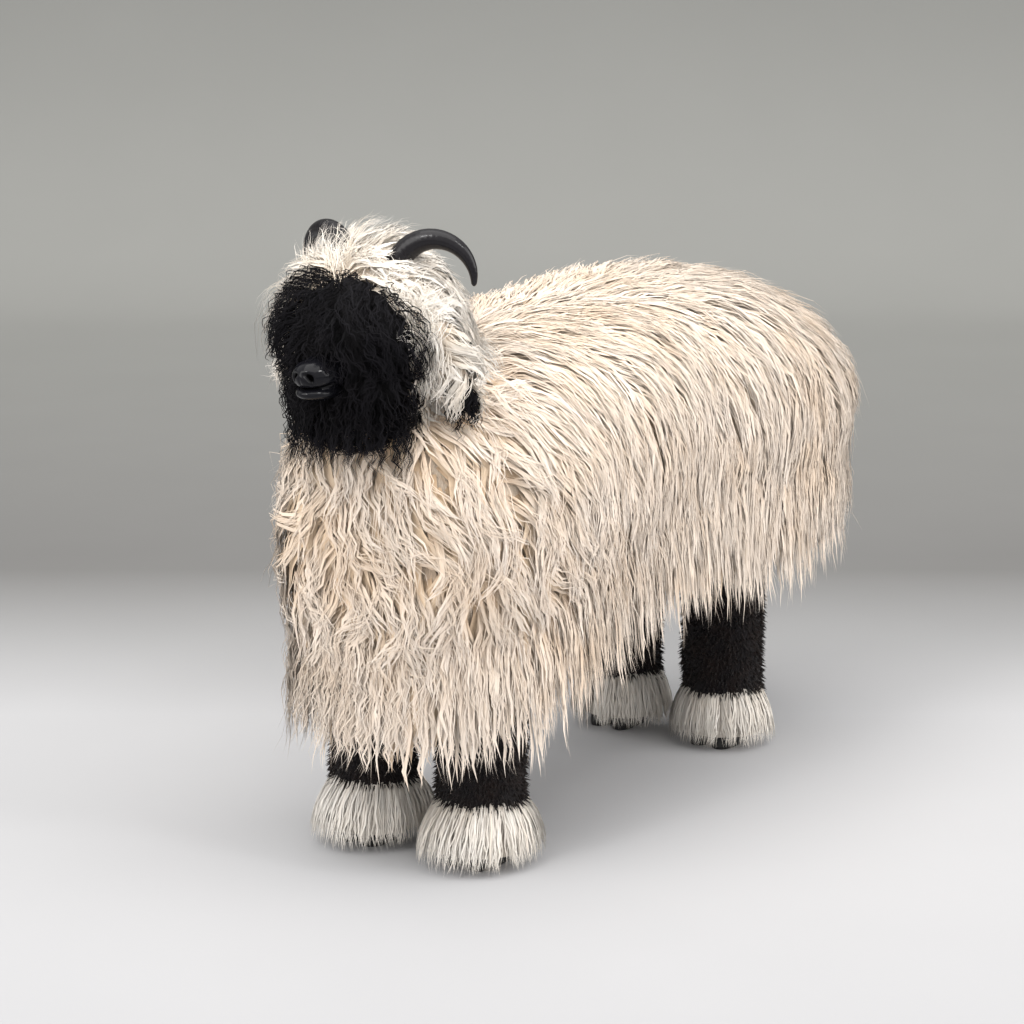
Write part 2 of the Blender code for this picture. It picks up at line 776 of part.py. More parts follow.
def tuft(spot, half_length, seed):
    """Straight fetlock wool that falls from the cuff over the hoof to the floor."""
    rings = []
    for share in (0.0, TUFT_CORE_END):
        angles = [2 * math.pi * i / TUFT_LOCKS for i in range(TUFT_LOCKS)]
        rings.append([tuft_spot(spot, share, a, half_length, TUFT_CORE_REACH) for a in angles])
    top = Vector((spot[0], spot[1], CUFF_HEIGHT - GAP))
    cap = [Vector((p.x, p.y, top.z)) for p in rings[0]]
    bottom = Vector((spot[0], spot[1], rings[-1][0].z))
    core = loft("tuft", [cap] + rings, (top, bottom))
    draw = random.Random(seed)
    pieces = []
    for i in range(TUFT_LOCKS):
        angle = 2 * math.pi * (i + draw.uniform(-0.15, 0.15)) / TUFT_LOCKS
        reach = draw.uniform(0.88, 1.0)
        normal = Vector((math.cos(angle), math.sin(angle), 0.25)).normalized()
        path = []
        for share in LOCK_SHARES + (1.0,):
            place = tuft_spot(spot, share, angle, half_length, reach)
            path.append((place - normal * TUFT_LOCK_DEPTH * (1 - share), normal))
        width = TUFT_LOCK_WIDTH * draw.uniform(0.9, 1.1)
        pieces.append(lock(path, width, TUFT_LOCK_THICK, draw.uniform(-0.003, 0.003), 0.0))
    return cut(join(core, pieces), [hoof(spot, GAP)])


def named(thing, name, material):
    thing.name = name
    thing.data.name = name
    return finish(thing, material)


def build_legs():
    for end, y, tuft_length, seed in (
        ("front", LEG_FRONT_Y, TUFT_FRONT_HALF_LENGTH, SEEDS["front tuft"]),
        ("rear", LEG_REAR_Y, TUFT_REAR_HALF_LENGTH, SEEDS["rear tuft"]),
    ):
        for side, word in ((1, "left"), (-1, "right")):
            spot = (side * LEG_SPACING / 2, y)
            named(leg(spot), f"leg_{end}_{word}", PILE)
            named(tuft(spot, tuft_length, seed + side), f"fetlock_{end}_{word}", TUFT_WOOL)
            named(hoof(spot), f"hoof_{end}_{word}", HOOF)


def all_legs(grow):
    return [
        leg((side * LEG_SPACING / 2, y), grow)
        for y in (LEG_FRONT_Y, LEG_REAR_Y)
        for side in (-1, 1)
    ]


def fused(pieces):
    return join(pieces[0], pieces[1:])


def build_head():
    snout = cut(muzzle(), nostrils())
    named(snout, "muzzle", MOULDED)
    front = cut(fused(face_pieces()), [muzzle(GAP), box_beyond_face_plane("face_back", 1)])
    named(front, "face", FACE_WOOL)
    for side, word in ((1, "left"), (-1, "right")):
        hanging = cut(fused(ear_pieces(side)), [box_beyond_face_plane("ear_front", -1)])
        named(hanging, f"ear_{word}", FACE_WOOL)
        named(horn(side), f"horn_{word}", HORN)
    fixings = [horn(side, GAP) for side in (-1, 1)] + [muzzle(GAP)]
    fixings += ear_pieces(1, GAP) + ear_pieces(-1, GAP)
    fixings.append(box_beyond_face_plane("head_front", -1))
    named(cut(fused(head_pieces()), fixings), "head", HEAD_WOOL)


def build_body():
    upper = head_pieces(GAP) + face_pieces(GAP) + ear_pieces(1, GAP) + ear_pieces(-1, GAP)
    named(cut(fused(neck_pieces()), upper), "neck", HEAD_WOOL)
    named(fused(tail_pieces()), "tail", COAT_WOOL)
    clear = head_pieces(GAP) + face_pieces(GAP) + ear_pieces(1, GAP) + ear_pieces(-1, GAP)
    clear += neck_pieces(GAP) + tail_pieces(GAP) + all_legs(GAP)
    named(cut(torso(), clear), "torso", COAT_WOOL)


def centre_on_floor():
    """Moves the whole figure so that the middle of its box is over the origin."""
    corners = [v.co for thing in FIGURE.objects for v in thing.data.vertices]
    shift = Vector((0.0, 0.0, 0.0))
    for axis in (0, 1):
        values = [c[axis] for c in corners]
        shift[axis] = -(min(values) + max(values)) / 2
    for thing in FIGURE.objects:
        thing.data.transform(Matrix.Translation(shift))


clear_scene()
FIGURE = bpy.data.collections.new("blacknose_sheep_figure")
bpy.context.scene.collection.children.link(FIGURE)
COAT_WOOL = make_material("cream_coat", (0.78, 0.66, 0.49), 0.9)
HEAD_WOOL = make_material("cream_head_wool", (0.80, 0.74, 0.62), 0.9)
TUFT_WOOL = make_material("white_fetlock_wool", (0.76, 0.72, 0.65), 0.9)
FACE_WOOL = make_material("black_curly_wool", (0.012, 0.011, 0.013), 0.85)
PILE = make_material("black_short_pile", (0.016, 0.010, 0.010), 0.95)
MOULDED = make_material("gloss_black_muzzle", (0.010, 0.010, 0.013), 0.2)
HORN = make_material("polished_black_horn", (0.015, 0.013, 0.014), 0.25)
HOOF = make_material("black_hoof", (0.018, 0.017, 0.018), 0.5)
build_legs()
build_head()
build_body()
centre_on_floor()
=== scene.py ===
# Blacknose sheep as a sheepskin-covered display figure, dressed on its solids
# metres, Z up, the figure faces -Y and its own left side is +X

import math

import bmesh
import bpy
import numpy as np
from mathutils import Matrix, Vector, noise
from mathutils.bvhtree import BVHTree


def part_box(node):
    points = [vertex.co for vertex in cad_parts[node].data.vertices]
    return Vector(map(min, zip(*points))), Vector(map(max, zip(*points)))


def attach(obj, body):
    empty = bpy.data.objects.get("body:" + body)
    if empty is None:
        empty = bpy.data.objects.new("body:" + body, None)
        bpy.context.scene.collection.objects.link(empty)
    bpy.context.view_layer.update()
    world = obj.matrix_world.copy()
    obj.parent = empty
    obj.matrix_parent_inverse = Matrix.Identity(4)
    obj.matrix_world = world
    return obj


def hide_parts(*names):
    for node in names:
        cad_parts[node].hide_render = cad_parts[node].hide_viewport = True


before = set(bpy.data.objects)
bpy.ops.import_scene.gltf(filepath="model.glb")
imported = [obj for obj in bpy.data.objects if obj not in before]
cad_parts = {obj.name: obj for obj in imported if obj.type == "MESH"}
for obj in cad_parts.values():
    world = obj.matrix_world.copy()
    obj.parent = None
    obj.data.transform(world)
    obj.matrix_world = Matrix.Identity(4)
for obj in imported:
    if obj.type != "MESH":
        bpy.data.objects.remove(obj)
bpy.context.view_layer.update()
print("frame loaded")


# sizes that the solids share, before the figure is centred

legSizes = {
    "spacing": 0.155,
    "frontY": -0.267,
    "rearY": 0.296,
    "radius": 0.054,
    "cuff": 0.088,
    "top": 0.34,
    "clearance": 0.006,  # between a leg and the hair that hangs over it
}

bodySizes = {
    # y, half width, low z, high z, squareness, out to the hair tips
    "stations": (
        (-0.408, 0.088, 0.190, 0.505, 2.2),
        (-0.383, 0.128, 0.160, 0.558, 2.3),
        (-0.337, 0.154, 0.145, 0.596, 2.4),
        (-0.265, 0.177, 0.138, 0.616, 2.5),
        (-0.184, 0.193, 0.175, 0.624, 2.5),
        (-0.082, 0.200, 0.218, 0.632, 2.5),
        (0.020, 0.205, 0.240, 0.638, 2.4),
        (0.122, 0.209, 0.240, 0.643, 2.4),
        (0.224, 0.213, 0.226, 0.643, 2.3),
        (0.326, 0.213, 0.226, 0.628, 2.2),
        (0.410, 0.203, 0.250, 0.600, 2.2),
        (0.480, 0.178, 0.285, 0.560, 2.1),
        (0.524, 0.130, 0.325, 0.505, 2.0),
    ),
    "ends": (-0.418, 0.536),
    "hem": (
        (-0.430, 0.140),
        (-0.265, 0.136),
        (-0.184, 0.172),
        (-0.082, 0.215),
        (0.020, 0.238),
        (0.224, 0.226),
        (0.326, 0.224),
        (0.540, 0.262),
    ),
    "skinDepth": 0.025,  # from the hair tips down to the skin
    "bellyLift": 0.044,  # the belly's skin lies this much higher still
}

headSizes = {
    "head": ((0.0, -0.350, 0.636), (0.107, 0.117, 0.112)),
    "face": ((0.0, -0.405, 0.618), (0.107, 0.074, 0.108)),
    "neck": ((0.0, -0.285, 0.570), (0.105, 0.095, 0.068)),
    "faceTop": (0.0, -0.413, 0.715),
    "faceChin": (0.0, -0.362, 0.510),
    "skinDepth": 0.020,
    "faceDepth": 0.024,
    "muzzle": ((0.0, -0.460, 0.604), (0.0265, 0.0420, 0.0205)),
    "lip": ((0.0, -0.459, 0.5845), (0.0232, 0.0395, 0.0105)),
    "earRoot": (0.092, -0.372, 0.668),
    "earTip": (0.124, -0.352, 0.546),
    "earHalfWidth": 0.021,
    "earHalfThick": 0.013,
    "earDepth": 0.004,
    "earBlackBelow": 0.592,
    "faceReach": 1.12,  # the skin inside this share of the form, squared, belongs to it
    "headReach": 1.15,
    "neckReach": 1.12,
    "earReach": 0.024,  # the skin this near an ear's own line belongs to the ear
    "earFrom": 0.090,
}

tailSizes = {
    "root": (0.0, 0.500, 0.470),
    "tip": (0.0, 0.522, 0.215),
    "halfWidth": 0.040,
    "halfThick": 0.024,
    "skinDepth": 0.013,
    # the skin that belongs to the tail
    "from": 0.505,
    "reach": 0.034,
    "below": 0.45,
}

hornSizes = {
    "centre": (0.074, -0.351, 0.699),
    "sweep": 0.045,
    "turn": math.radians(21),
    "start": math.radians(205),
    "end": math.radians(-4),
    "thick": 0.0145,
    "tip": 0.0032,
}

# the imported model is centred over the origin: how far that moved it
legBoxes = [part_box("leg_front_left"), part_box("leg_front_right")]
centring = np.array((
    sum(low.x + high.x for low, high in legBoxes) / 4,
    sum(low.y + high.y for low, high in legBoxes) / 4 - legSizes["frontY"],
    0.0,
))


# camera at the photograph's viewing angle

cameraSettings = {
    "azimuth": 33.8,
    "elevation": 13.2,
    "distance": 3.57,
    "aim": (0.0806, -0.2261, 0.408),
    "lens": 3070 / 1024 * 36,
    "sensor": 36.0,
}


def aimed(name, data, aim, azimuth, elevation, distance):  # an object that looks back at the aim
    a, e = math.radians(azimuth), math.radians(elevation)
    back = Vector((math.sin(a) * math.cos(e), -math.cos(a) * math.cos(e), math.sin(e)))
    rig = bpy.data.objects.new(name, data)
    bpy.context.scene.collection.objects.link(rig)
    rig.location = Vector(aim) + back * distance
    rig.rotation_mode = "QUATERNION"
    rig.rotation_quaternion = (-back).to_track_quat("-Z", "Y")
    return rig


def makeCamera(s):
    camera = bpy.data.cameras.new("studioCamera")
    camera.lens = s["lens"]
    camera.sensor_width = s["sensor"]
    camera.clip_end = 60
    rig = aimed("studioCamera", camera, s["aim"], s["azimuth"], s["elevation"], s["distance"])
    bpy.context.scene.camera = rig


makeCamera(cameraSettings)
print("camera placed")


# shader building


def addNode(tree, kind, settings, sockets):
    made = tree.nodes.new(kind)
    for key, value in settings.items():
        setattr(made, key, value)
    for key, value in sockets.items():
        if isinstance(value, bpy.types.NodeSocket):
            tree.links.new(value, made.inputs[key])
        else:
            made.inputs[key].default_value = value
    return made


class Wire:  # one shader output that can be added, scaled and so on
    def __init__(self, paint, out):
        self.paint = paint
        self.out = out

    def maths(self, operation, first, second):
        return self.paint.node("ShaderNodeMath", {"operation": operation}, {0: first, 1: second})

    def __add__(self, other):
        return self.maths("ADD", self, other)

    def __radd__(self, other):
        return self.maths("ADD", other, self)

    def __sub__(self, other):
        return self.maths("SUBTRACT", self, other)

    def __rsub__(self, other):
        return self.maths("SUBTRACT", other, self)

    def __mul__(self, other):
        return self.maths("MULTIPLY", self, other)

    def __rmul__(self, other):
        return self.maths("MULTIPLY", other, self)

    def limited(self):
        return self.paint.node("ShaderNodeClamp", {}, {"Value": self})


class Paint:  # the nodes of one material
    def __init__(self, name):
        self.material = bpy.data.materials.new(name)
        self.material.use_nodes = True
        self.tree = self.material.node_tree
        self.tree.nodes.clear()

    def node(self, kind, settings, sockets, output=0):
        plain = {key: value.out if isinstance(value, Wire) else value for key, value in sockets.items()}
        return Wire(self, addNode(self.tree, kind, settings, plain).outputs[output])

    def attribute(self, name):
        return self.node("ShaderNodeAttribute", {"attribute_name": name}, {}, "Fac")

    def place(self):
        return self.node("ShaderNodeTexCoord", {}, {}, "Object")

    def stretched(self, scale, where=None):
        sockets = {0: where or self.place(), 1: scale}
        return self.node("ShaderNodeVectorMath", {"operation": "MULTIPLY"}, sockets)

    def fibres(self, along, across):  # fine lines that run the length of a tuft
        spot = self.node("ShaderNodeUVMap", {"uv_map": "OFBake"}, {})
        return self.speckle(1.0, 2.0, 0.6, self.stretched((along, across, 1.0), spot))

    def speckle(self, scale, detail=3.0, rough=0.5, where=None):
        sockets = {"Scale": scale, "Detail": detail, "Roughness": rough, "Vector": where or self.place()}
        return self.node("ShaderNodeTexNoise", {}, sockets)

    def ramped(self, value, low, high, start=0.0, end=1.0):
        sockets = {"Value": value, "From Min": low, "From Max": high, "To Min": start, "To Max": end}
        return self.node("ShaderNodeMapRange", {"clamp": True}, sockets)

    def blend(self, share, first, second, how="MIX"):
        settings = {"data_type": "RGBA", "blend_type": how}
        return self.node("ShaderNodeMix", settings, {"Factor": share, 6: first, 7: second}, 2)

    def bumped(self, height, strength, distance):
        sockets = {"Height": height, "Strength": strength, "Distance": distance}
        return self.node("ShaderNodeBump", {}, sockets)

    def finish(self, shine, colour, rough, bump=None, others=None):
        sockets = {"Specular IOR Level": shine, "Base Color": colour, "Roughness": rough} | (others or {})
        if bump:
            sockets["Normal"] = bump
        shader = self.node("ShaderNodeBsdfPrincipled", {}, sockets)
        out = self.tree.nodes.new("ShaderNodeOutputMaterial")
        self.tree.links.new(shader.out, out.inputs["Surface"])
        return self.material


def rgb(red, green, blue):
    return (red, green, blue, 1.0)


# the roots are darker and warmer than the tips: painted shade deep in the coat
woolColours = {
    # root, middle, tip and stain, then the stain's share, the roughness and the shine
    "cream": (
        rgb(0.93, 0.71, 0.51), rgb(0.95, 0.81, 0.67), rgb(0.99, 0.895, 0.80), rgb(0.94, 0.71, 0.49),
        0.55, 0.70, 0.25,
    ),
    # under: a darker, warmer copy of the cream, painted shade for the fill that lies in the gaps between
    # locks
    "under": (
        rgb(0.92, 0.67, 0.44), rgb(0.94, 0.73, 0.52), rgb(0.95, 0.77, 0.58), rgb(0.92, 0.66, 0.43),
        0.35, 0.75, 0.10,
    ),
    "white": (
        rgb(0.84, 0.72, 0.58), rgb(0.92, 0.855, 0.76), rgb(0.955, 0.93, 0.885), rgb(0.88, 0.74, 0.57),
        0.35, 0.68, 0.25,
    ),
    "fetlock": (
        rgb(0.70, 0.66, 0.61), rgb(0.90, 0.87, 0.82), rgb(0.95, 0.92, 0.86), rgb(0.80, 0.72, 0.60),
        0.50, 0.62, 0.30,
    ),
    "black": (
        rgb(0.0015, 0.0015, 0.0020), rgb(0.0045, 0.0042, 0.0060), rgb(0.0105, 0.0098, 0.0130),
        rgb(0.0090, 0.0065, 0.0068), 0.35, 0.58, 0.12,
    ),
}


def woolPaint(name, root, middle, tip, stain, stainShare, roughness, shine):
    paint = Paint(name)
    along = paint.attribute("along")
    tone = paint.attribute("tone")
    # darker and warmer towards the root: painted shade deep in the coat
    lower = paint.blend(paint.ramped(along, 0.0, 0.35), root, middle)
    colour = paint.blend(paint.ramped(along, 0.30, 0.95), lower, tip)
    patch = paint.ramped(paint.speckle(9.0, 4.0, 0.6), 0.46, 0.68)
    colour = paint.blend((patch * stainShare * (1.0 - along * 0.5)).limited(), colour, stain)
    # fine lines darker between the fibres are painted shade between the hairs; the tone darkens whole strands
    # at random
    lines = paint.fibres(250.0, 4200.0)
    dark = paint.blend(1.0, colour, rgb(0.80, 0.70, 0.60), "MULTIPLY")
    toneAndFibreShade = paint.ramped(tone, 0.0, 1.0, 0.30, 0.0) + paint.ramped(lines, 0.30, 0.62, 0.40, 0.0)
    colour = paint.blend(toneAndFibreShade.limited(), colour, dark)
    rough = paint.ramped(lines, 0.2, 0.8, roughness - 0.08, roughness + 0.10)
    return paint.finish(shine, colour, rough, paint.bumped(lines, 0.35, 0.0006))


creamWool = woolPaint("creamLongWool", *woolColours["cream"])
shadedUnderWool = woolPaint("creamUnderwoolShaded", *woolColours["under"])
whiteWool = woolPaint("whiteHeadWool", *woolColours["white"])
fetlockWool = woolPaint("fetlockWool", *woolColours["fetlock"])
blackWool = woolPaint("blackCurl", *woolColours["black"])


def skinPaint():
    paint = Paint("hideUnderWool")
    patch = paint.ramped(paint.speckle(9.0, 4.0, 0.6), 0.4, 0.7)
    # the hide's cream is the wool's shaded root colour: painted shade where the skin shows between locks
    cream = paint.blend(patch, rgb(0.93, 0.77, 0.61), rgb(0.91, 0.71, 0.53))
    dark = paint.blend(patch, rgb(0.007, 0.006, 0.007), rgb(0.004, 0.004, 0.005))
    colour = paint.blend(paint.attribute("black"), cream, dark)
    strands = paint.speckle(220.0, 3.0, 0.6, paint.stretched((1.0, 1.0, 0.15)))
    rough = paint.ramped(strands, 0.3, 0.7, 0.75, 0.95)
    return paint.finish(0.2, colour, rough, paint.bumped(strands, 0.8, 0.004))


def pilePaint():
    paint = Paint("blackShortPile")
    worn = paint.ramped(paint.speckle(35.0, 4.0, 0.6), 0.45, 0.75)
    colour = paint.blend(worn, rgb(0.007, 0.005, 0.006), rgb(0.022, 0.012, 0.009))
    tone = paint.attribute("tone")
    colour = paint.blend((tone * 0.6).limited(), colour, rgb(0.030, 0.018, 0.014))
    nap = paint.speckle(420.0, 3.0, 0.7)
    rough = paint.ramped(nap, 0.3, 0.7, 0.72, 0.92)
    sheen = {"Sheen Weight": 0.08, "Sheen Roughness": 0.4}
    return paint.finish(0.25, colour, rough, paint.bumped(nap, 0.9, 0.003), sheen)


def mouldedPaint():
    paint = Paint("glossBlackMoulding")
    fine = paint.speckle(600.0, 3.0, 0.6)
    cloud = paint.speckle(40.0, 3.0, 0.5)
    hollowShade = paint.attribute("hollowShade")
    colour = paint.blend(cloud, rgb(0.0035, 0.0035, 0.0050), rgb(0.0080, 0.0080, 0.0105))
    # near black in the nostrils and along the mouth: painted shade in the hollows
    colour = paint.blend(hollowShade, colour, rgb(0.0004, 0.0004, 0.0005))
    rough = (paint.ramped(fine + cloud, 0.7, 1.3, 0.07, 0.13) + hollowShade * 0.7).limited()
    return paint.finish(0.19, colour, rough, paint.bumped(fine, 0.08, 0.0003))


def hollowPaint():  # painted shade deep inside the nostrils and along the mouth
    paint = Paint("shadedHollow")
    fine = paint.speckle(500.0, 2.0, 0.6)
    colour = paint.blend(fine, rgb(0.0003, 0.0003, 0.0004), rgb(0.0012, 0.0011, 0.0013))
    return paint.finish(0.02, colour, paint.ramped(fine, 0.2, 0.8, 0.7, 0.9))


def hornPaint():
    paint = Paint("polishedBlackHorn")
    grain = paint.speckle(260.0, 4.0, 0.6)
    bands = paint.node("ShaderNodeMath", {"operation": "SINE"}, {0: paint.attribute("along") * 190.0})
    smear = paint.speckle(26.0, 4.0, 0.6)
    colour = paint.blend(smear, rgb(0.004, 0.0035, 0.005), rgb(0.013, 0.011, 0.013))
    rough = paint.ramped(smear, 0.3, 0.7, 0.16, 0.30)
    return paint.finish(0.32, colour, rough, paint.bumped(bands * 0.3 + grain, 0.15, 0.0008))


def hoofPaint():
    paint = Paint("blackHoof")
    scuffs = paint.ramped(paint.speckle(90.0, 5.0, 0.7, paint.stretched((1.0, 1.0, 3.0))), 0.45, 0.7)
    fine = paint.speckle(500.0, 3.0, 0.6)
    colour = paint.blend(scuffs, rgb(0.010, 0.010, 0.011), rgb(0.030, 0.028, 0.027))
    rough = paint.ramped(scuffs, 0.0, 1.0, 0.38, 0.62)
    return paint.finish(0.4, colour, rough, paint.bumped(fine + scuffs * 0.5, 0.3, 0.0006))


hide = skinPaint()
pile = pilePaint()
moulded = mouldedPaint()
hollowDark = hollowPaint()
hornShine = hornPaint()
hoofShell = hoofPaint()
print("finishes made")


# mesh helpers


def unit(vectors):
    return vectors / np.maximum(np.linalg.norm(vectors, axis=-1, keepdims=True), 1e-9)


def meshFrom(name, points, faces):
    mesh = bpy.data.meshes.new(name)
    if isinstance(faces, list):
        sizes, flat = np.array([len(face) for face in faces]), np.concatenate(faces)
    else:
        sizes, flat = np.full(len(faces), faces.shape[1]), faces.reshape(-1)
    mesh.vertices.add(len(points))
    setPoints(mesh, points)
    mesh.loops.add(len(flat))
    mesh.loops.foreach_set("vertex_index", flat.astype(np.int32))
    mesh.polygons.add(len(sizes))
    starts = np.concatenate(((0,), np.cumsum(sizes)[:-1])).astype(np.int32)
    mesh.polygons.foreach_set("loop_start", starts)
    mesh.update(calc_edges=True)
    mesh.validate()
    return mesh


def setPoints(mesh, points):
    mesh.vertices.foreach_set("co", np.asarray(points, dtype=np.float32).reshape(-1))


def pointsOf(mesh):
    points = np.empty(len(mesh.vertices) * 3, dtype=np.float32)
    mesh.vertices.foreach_get("co", points)
    return points.reshape(-1, 3).astype(float)


def facesOutward(mesh):
    bm = bmesh.new()
    bm.from_mesh(mesh)
    if bm.calc_volume(signed=True) < 0:
        bmesh.ops.reverse_faces(bm, faces=bm.faces)
        bm.to_mesh(mesh)
    bm.free()


def closedMesh(points, faces):
    mesh = meshFrom("form", points, faces)
    facesOutward(mesh)
    return mesh


def addPiece(name, mesh, material, replaced=(), normals=None):
    mesh.name = name
    mesh.materials.clear()
    mesh.materials.append(material)
    mesh.shade_smooth()
    mesh.transform(Matrix.Translation(centring))
    if normals is not None:
        mesh.normals_split_custom_set_from_vertices(normals)
    piece = bpy.data.objects.new(name, mesh)
    bpy.context.scene.collection.objects.link(piece)
    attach(piece, "root")
    if replaced:
        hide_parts(*replaced)


def addNumber(mesh, name, values):
    layer = mesh.attributes.new(name, "FLOAT", "POINT")
    layer.data.foreach_set("value", np.asarray(values, dtype=np.float32))


def layPatches(mesh, uv):  # the unwrap for baking, from one place a vertex
    layer = mesh.uv_layers.get("OFBake") or mesh.uv_layers.new(name="OFBake")
    corners = np.empty(len(mesh.loops), dtype=np.int32)
    mesh.loops.foreach_get("vertex_index", corners)
    layer.data.foreach_set("uv", uv.reshape(-1, 2)[corners].astype(np.float32).reshape(-1))


def ringMesh(rings, first, last):  # closed form through rings, with a pole at each end
    rings = np.asarray(rings)
    rows, count, _ = rings.shape
    points = np.concatenate((rings.reshape(-1, 3), (first, last)))
    faces = []
    for i in range(count):
        j = (i + 1) % count
        faces.append((rows * count, j, i))
        faces.append((rows * count + 1, (rows - 1) * count + i, (rows - 1) * count + j))
        for row in range(rows - 1):
            low, high = row * count, (row + 1) * count
            faces.append((low + i, low + j, high + j, high + i))
    return points, faces


def superRing(power, count):
    angle = np.linspace(0, 2 * np.pi, count, endpoint=False)
    c, s = np.cos(angle), np.sin(angle)
    return np.sign(c) * abs(c) ** (2 / power), np.sign(s) * abs(s) ** (2 / power)


def smoothRows(stations, count):  # rows between the stations on a smooth curve
    table = np.array(stations, dtype=float)
    at = np.linspace(0, len(table) - 1, count)
    i = np.minimum(at.astype(int), len(table) - 2)
    f = (at - i)[:, None]
    a, b = table[i], table[i + 1]
    before, after = table[np.maximum(i - 1, 0)], table[np.minimum(i + 2, len(table) - 1)]
    turnA, turnB = (b - before) / 2, (after - a) / 2
    near = (2 * f**3 - 3 * f**2 + 1) * a + (f**3 - 2 * f**2 + f) * turnA
    return near + (3 * f**2 - 2 * f**3) * b + (f**3 - f**2) * turnB


def ballMesh(centre, radii, inset=0.0, across=32, up=20):
    rings = []
    for row in range(1, up):
        lift = math.pi * row / up
        x, y = superRing(2.0, across)
        ring = np.stack((x * math.sin(lift), y * math.sin(lift), np.full(across, -math.cos(lift))), axis=1)
        rings.append(ring)
    points, faces = ringMesh(rings, (0, 0, -1), (0, 0, 1))
    return np.array(centre) + points * (np.array(radii) - inset), faces


def leafMesh(root, tip, halfWidth, halfThick, across, inset=0.0):
    root, tip = np.array(root), np.array(tip)
    along = unit(tip - root)
    width = np.array(across) - along * np.dot(across, along)
    width = unit(width)
    thick = np.cross(along, width)
    rings = []
    for share, size in ((0.06, 0.55), (0.25, 0.85), (0.5, 1.0), (0.75, 0.9), (0.93, 0.5)):
        x, y = superRing(2.0, 20)
        ring = root + (tip - root) * share + np.outer(x, width) * (halfWidth * size - inset)
        rings.append(ring + np.outer(y, thick) * (halfThick * size - inset))
    return ringMesh(rings, root + along * inset, tip - along * inset)


def joined(parts):  # several closed forms as one list of points and one of faces
    points, faces = [], []
    for more, rows in parts:
        start = sum(len(p) for p in points)
        points.append(np.asarray(more))
        faces += [tuple(i + start for i in row) for row in rows]
    return np.concatenate(points), faces


def fuse(parts, voxel, smoothing):  # joins closed forms into one smooth closed skin
    thing = bpy.data.objects.new("parts", meshFrom("parts", *joined(parts)))
    bpy.context.scene.collection.objects.link(thing)
    remesh = thing.modifiers.new("Remesh", "REMESH")
    remesh.mode = "VOXEL"
    remesh.voxel_size = voxel
    soften = thing.modifiers.new("Smooth", "SMOOTH")
    soften.iterations = smoothing
    skin = evaluated(thing)
    facesOutward(skin)
    return skin


def evaluated(thing):  # the mesh that the object's modifiers make, without the object
    graph = bpy.context.evaluated_depsgraph_get()
    mesh = bpy.data.meshes.new_from_object(thing.evaluated_get(graph))
    bpy.data.objects.remove(thing)
    return mesh


# skin under the wool


def bodyForm(s):
    rings = []
    across, inset = 56, s["skinDepth"]
    for y, half, low, high, power in smoothRows(s["stations"], 60):
        if not s["ends"][0] + inset < y < s["ends"][1] - inset:
            continue
        x, z = superRing(power, across)
        low = low + s["bellyLift"]
        middle, tall = (low + high) / 2, (high - low) / 2 - inset
        rings.append(np.stack((x * (half - inset), np.full(across, y), middle + z * tall), axis=1))
    first = (0.0, s["ends"][0] + inset * 0.9, rings[0].mean(axis=0)[2])
    last = (0.0, s["ends"][1] - inset * 0.9, rings[-1].mean(axis=0)[2])
    return ringMesh(rings, first, last)


def mirrored(place, side):
    return (place[0] * side, place[1], place[2])


def earForm(side, inset):
    root, tip = mirrored(headSizes["earRoot"], side), mirrored(headSizes["earTip"], side)
    across = (side * 0.2, 1.0, 0.0)
    return leafMesh(root, tip, headSizes["earHalfWidth"], headSizes["earHalfThick"], across, inset)


def facePlane(points):  # distance behind the plane that parts the face from the head
    top, chin = np.array(headSizes["faceTop"]), np.array(headSizes["faceChin"])
    rise = unit(top - chin)
    back = unit(np.cross(rise, (1.0, 0.0, 0.0)))
    back = back if back[1] > 0 else -back
    return (points - (top + chin) / 2) @ back


def shellShare(points, form, inset=0.0):  # below 1 inside an ellipsoid
    centre, radii = form
    return (((points - np.array(centre)) / (np.array(radii) - inset)) ** 2).sum(axis=-1)


def folded(points):  # with the right side laid over the left
    both = points.copy()
    both[..., 0] = abs(points[..., 0])
    return both


def earGap(points):  # distance from an ear's own line, in metres
    root, tip = np.array(headSizes["earRoot"]), np.array(headSizes["earTip"])
    fromRoot, run = folded(points) - root, tip - root
    share = np.clip((fromRoot @ run) / (run @ run), 0.15, 1.0)
    return np.linalg.norm(fromRoot - share[..., None] * run, axis=-1)


def isEar(points):
    return (earGap(points) < headSizes["earReach"]) & (abs(points[..., 0]) > headSizes["earFrom"])


def isEarTip(points):  # the part of an ear that shows black under the white wool
    return isEar(points) & (points[..., 2] < headSizes["earBlackBelow"])


def isFace(points):
    near = shellShare(points, headSizes["face"], headSizes["faceDepth"]) < headSizes["faceReach"]
    return near & (facePlane(points) < 0.0)


def isHead(points):
    near = shellShare(points, headSizes["head"], headSizes["skinDepth"]) < headSizes["headReach"]
    return near & ~isFace(points)


def isNeck(points):
    near = shellShare(points, headSizes["neck"], headSizes["skinDepth"]) < headSizes["neckReach"]
    return near & ~isHead(points)


def isTail(points):
    near = (points[..., 1] > tailSizes["from"]) & (abs(points[..., 0]) < tailSizes["reach"])
    return near & (points[..., 2] < tailSizes["below"])


snoutSettings = {
    "place": (0.086, -0.430, 0.602),
    "reach": (0.040, 0.050, 0.024),
    "depth": 0.021,
    "towards": (0.0, -0.360, 0.612),
}


def besideMuzzle(points):  # 1 in the hollow of each cheek beside the muzzle, 0 away from it
    away = (folded(points) - np.array(snoutSettings["place"])) / np.array(snoutSettings["reach"])
    return np.exp(-(away**2).sum(axis=-1))


def narrowed(points):
    inward = unit(np.array(snoutSettings["towards"]) - points)
    return points + inward * (besideMuzzle(points) * snoutSettings["depth"])[:, None]


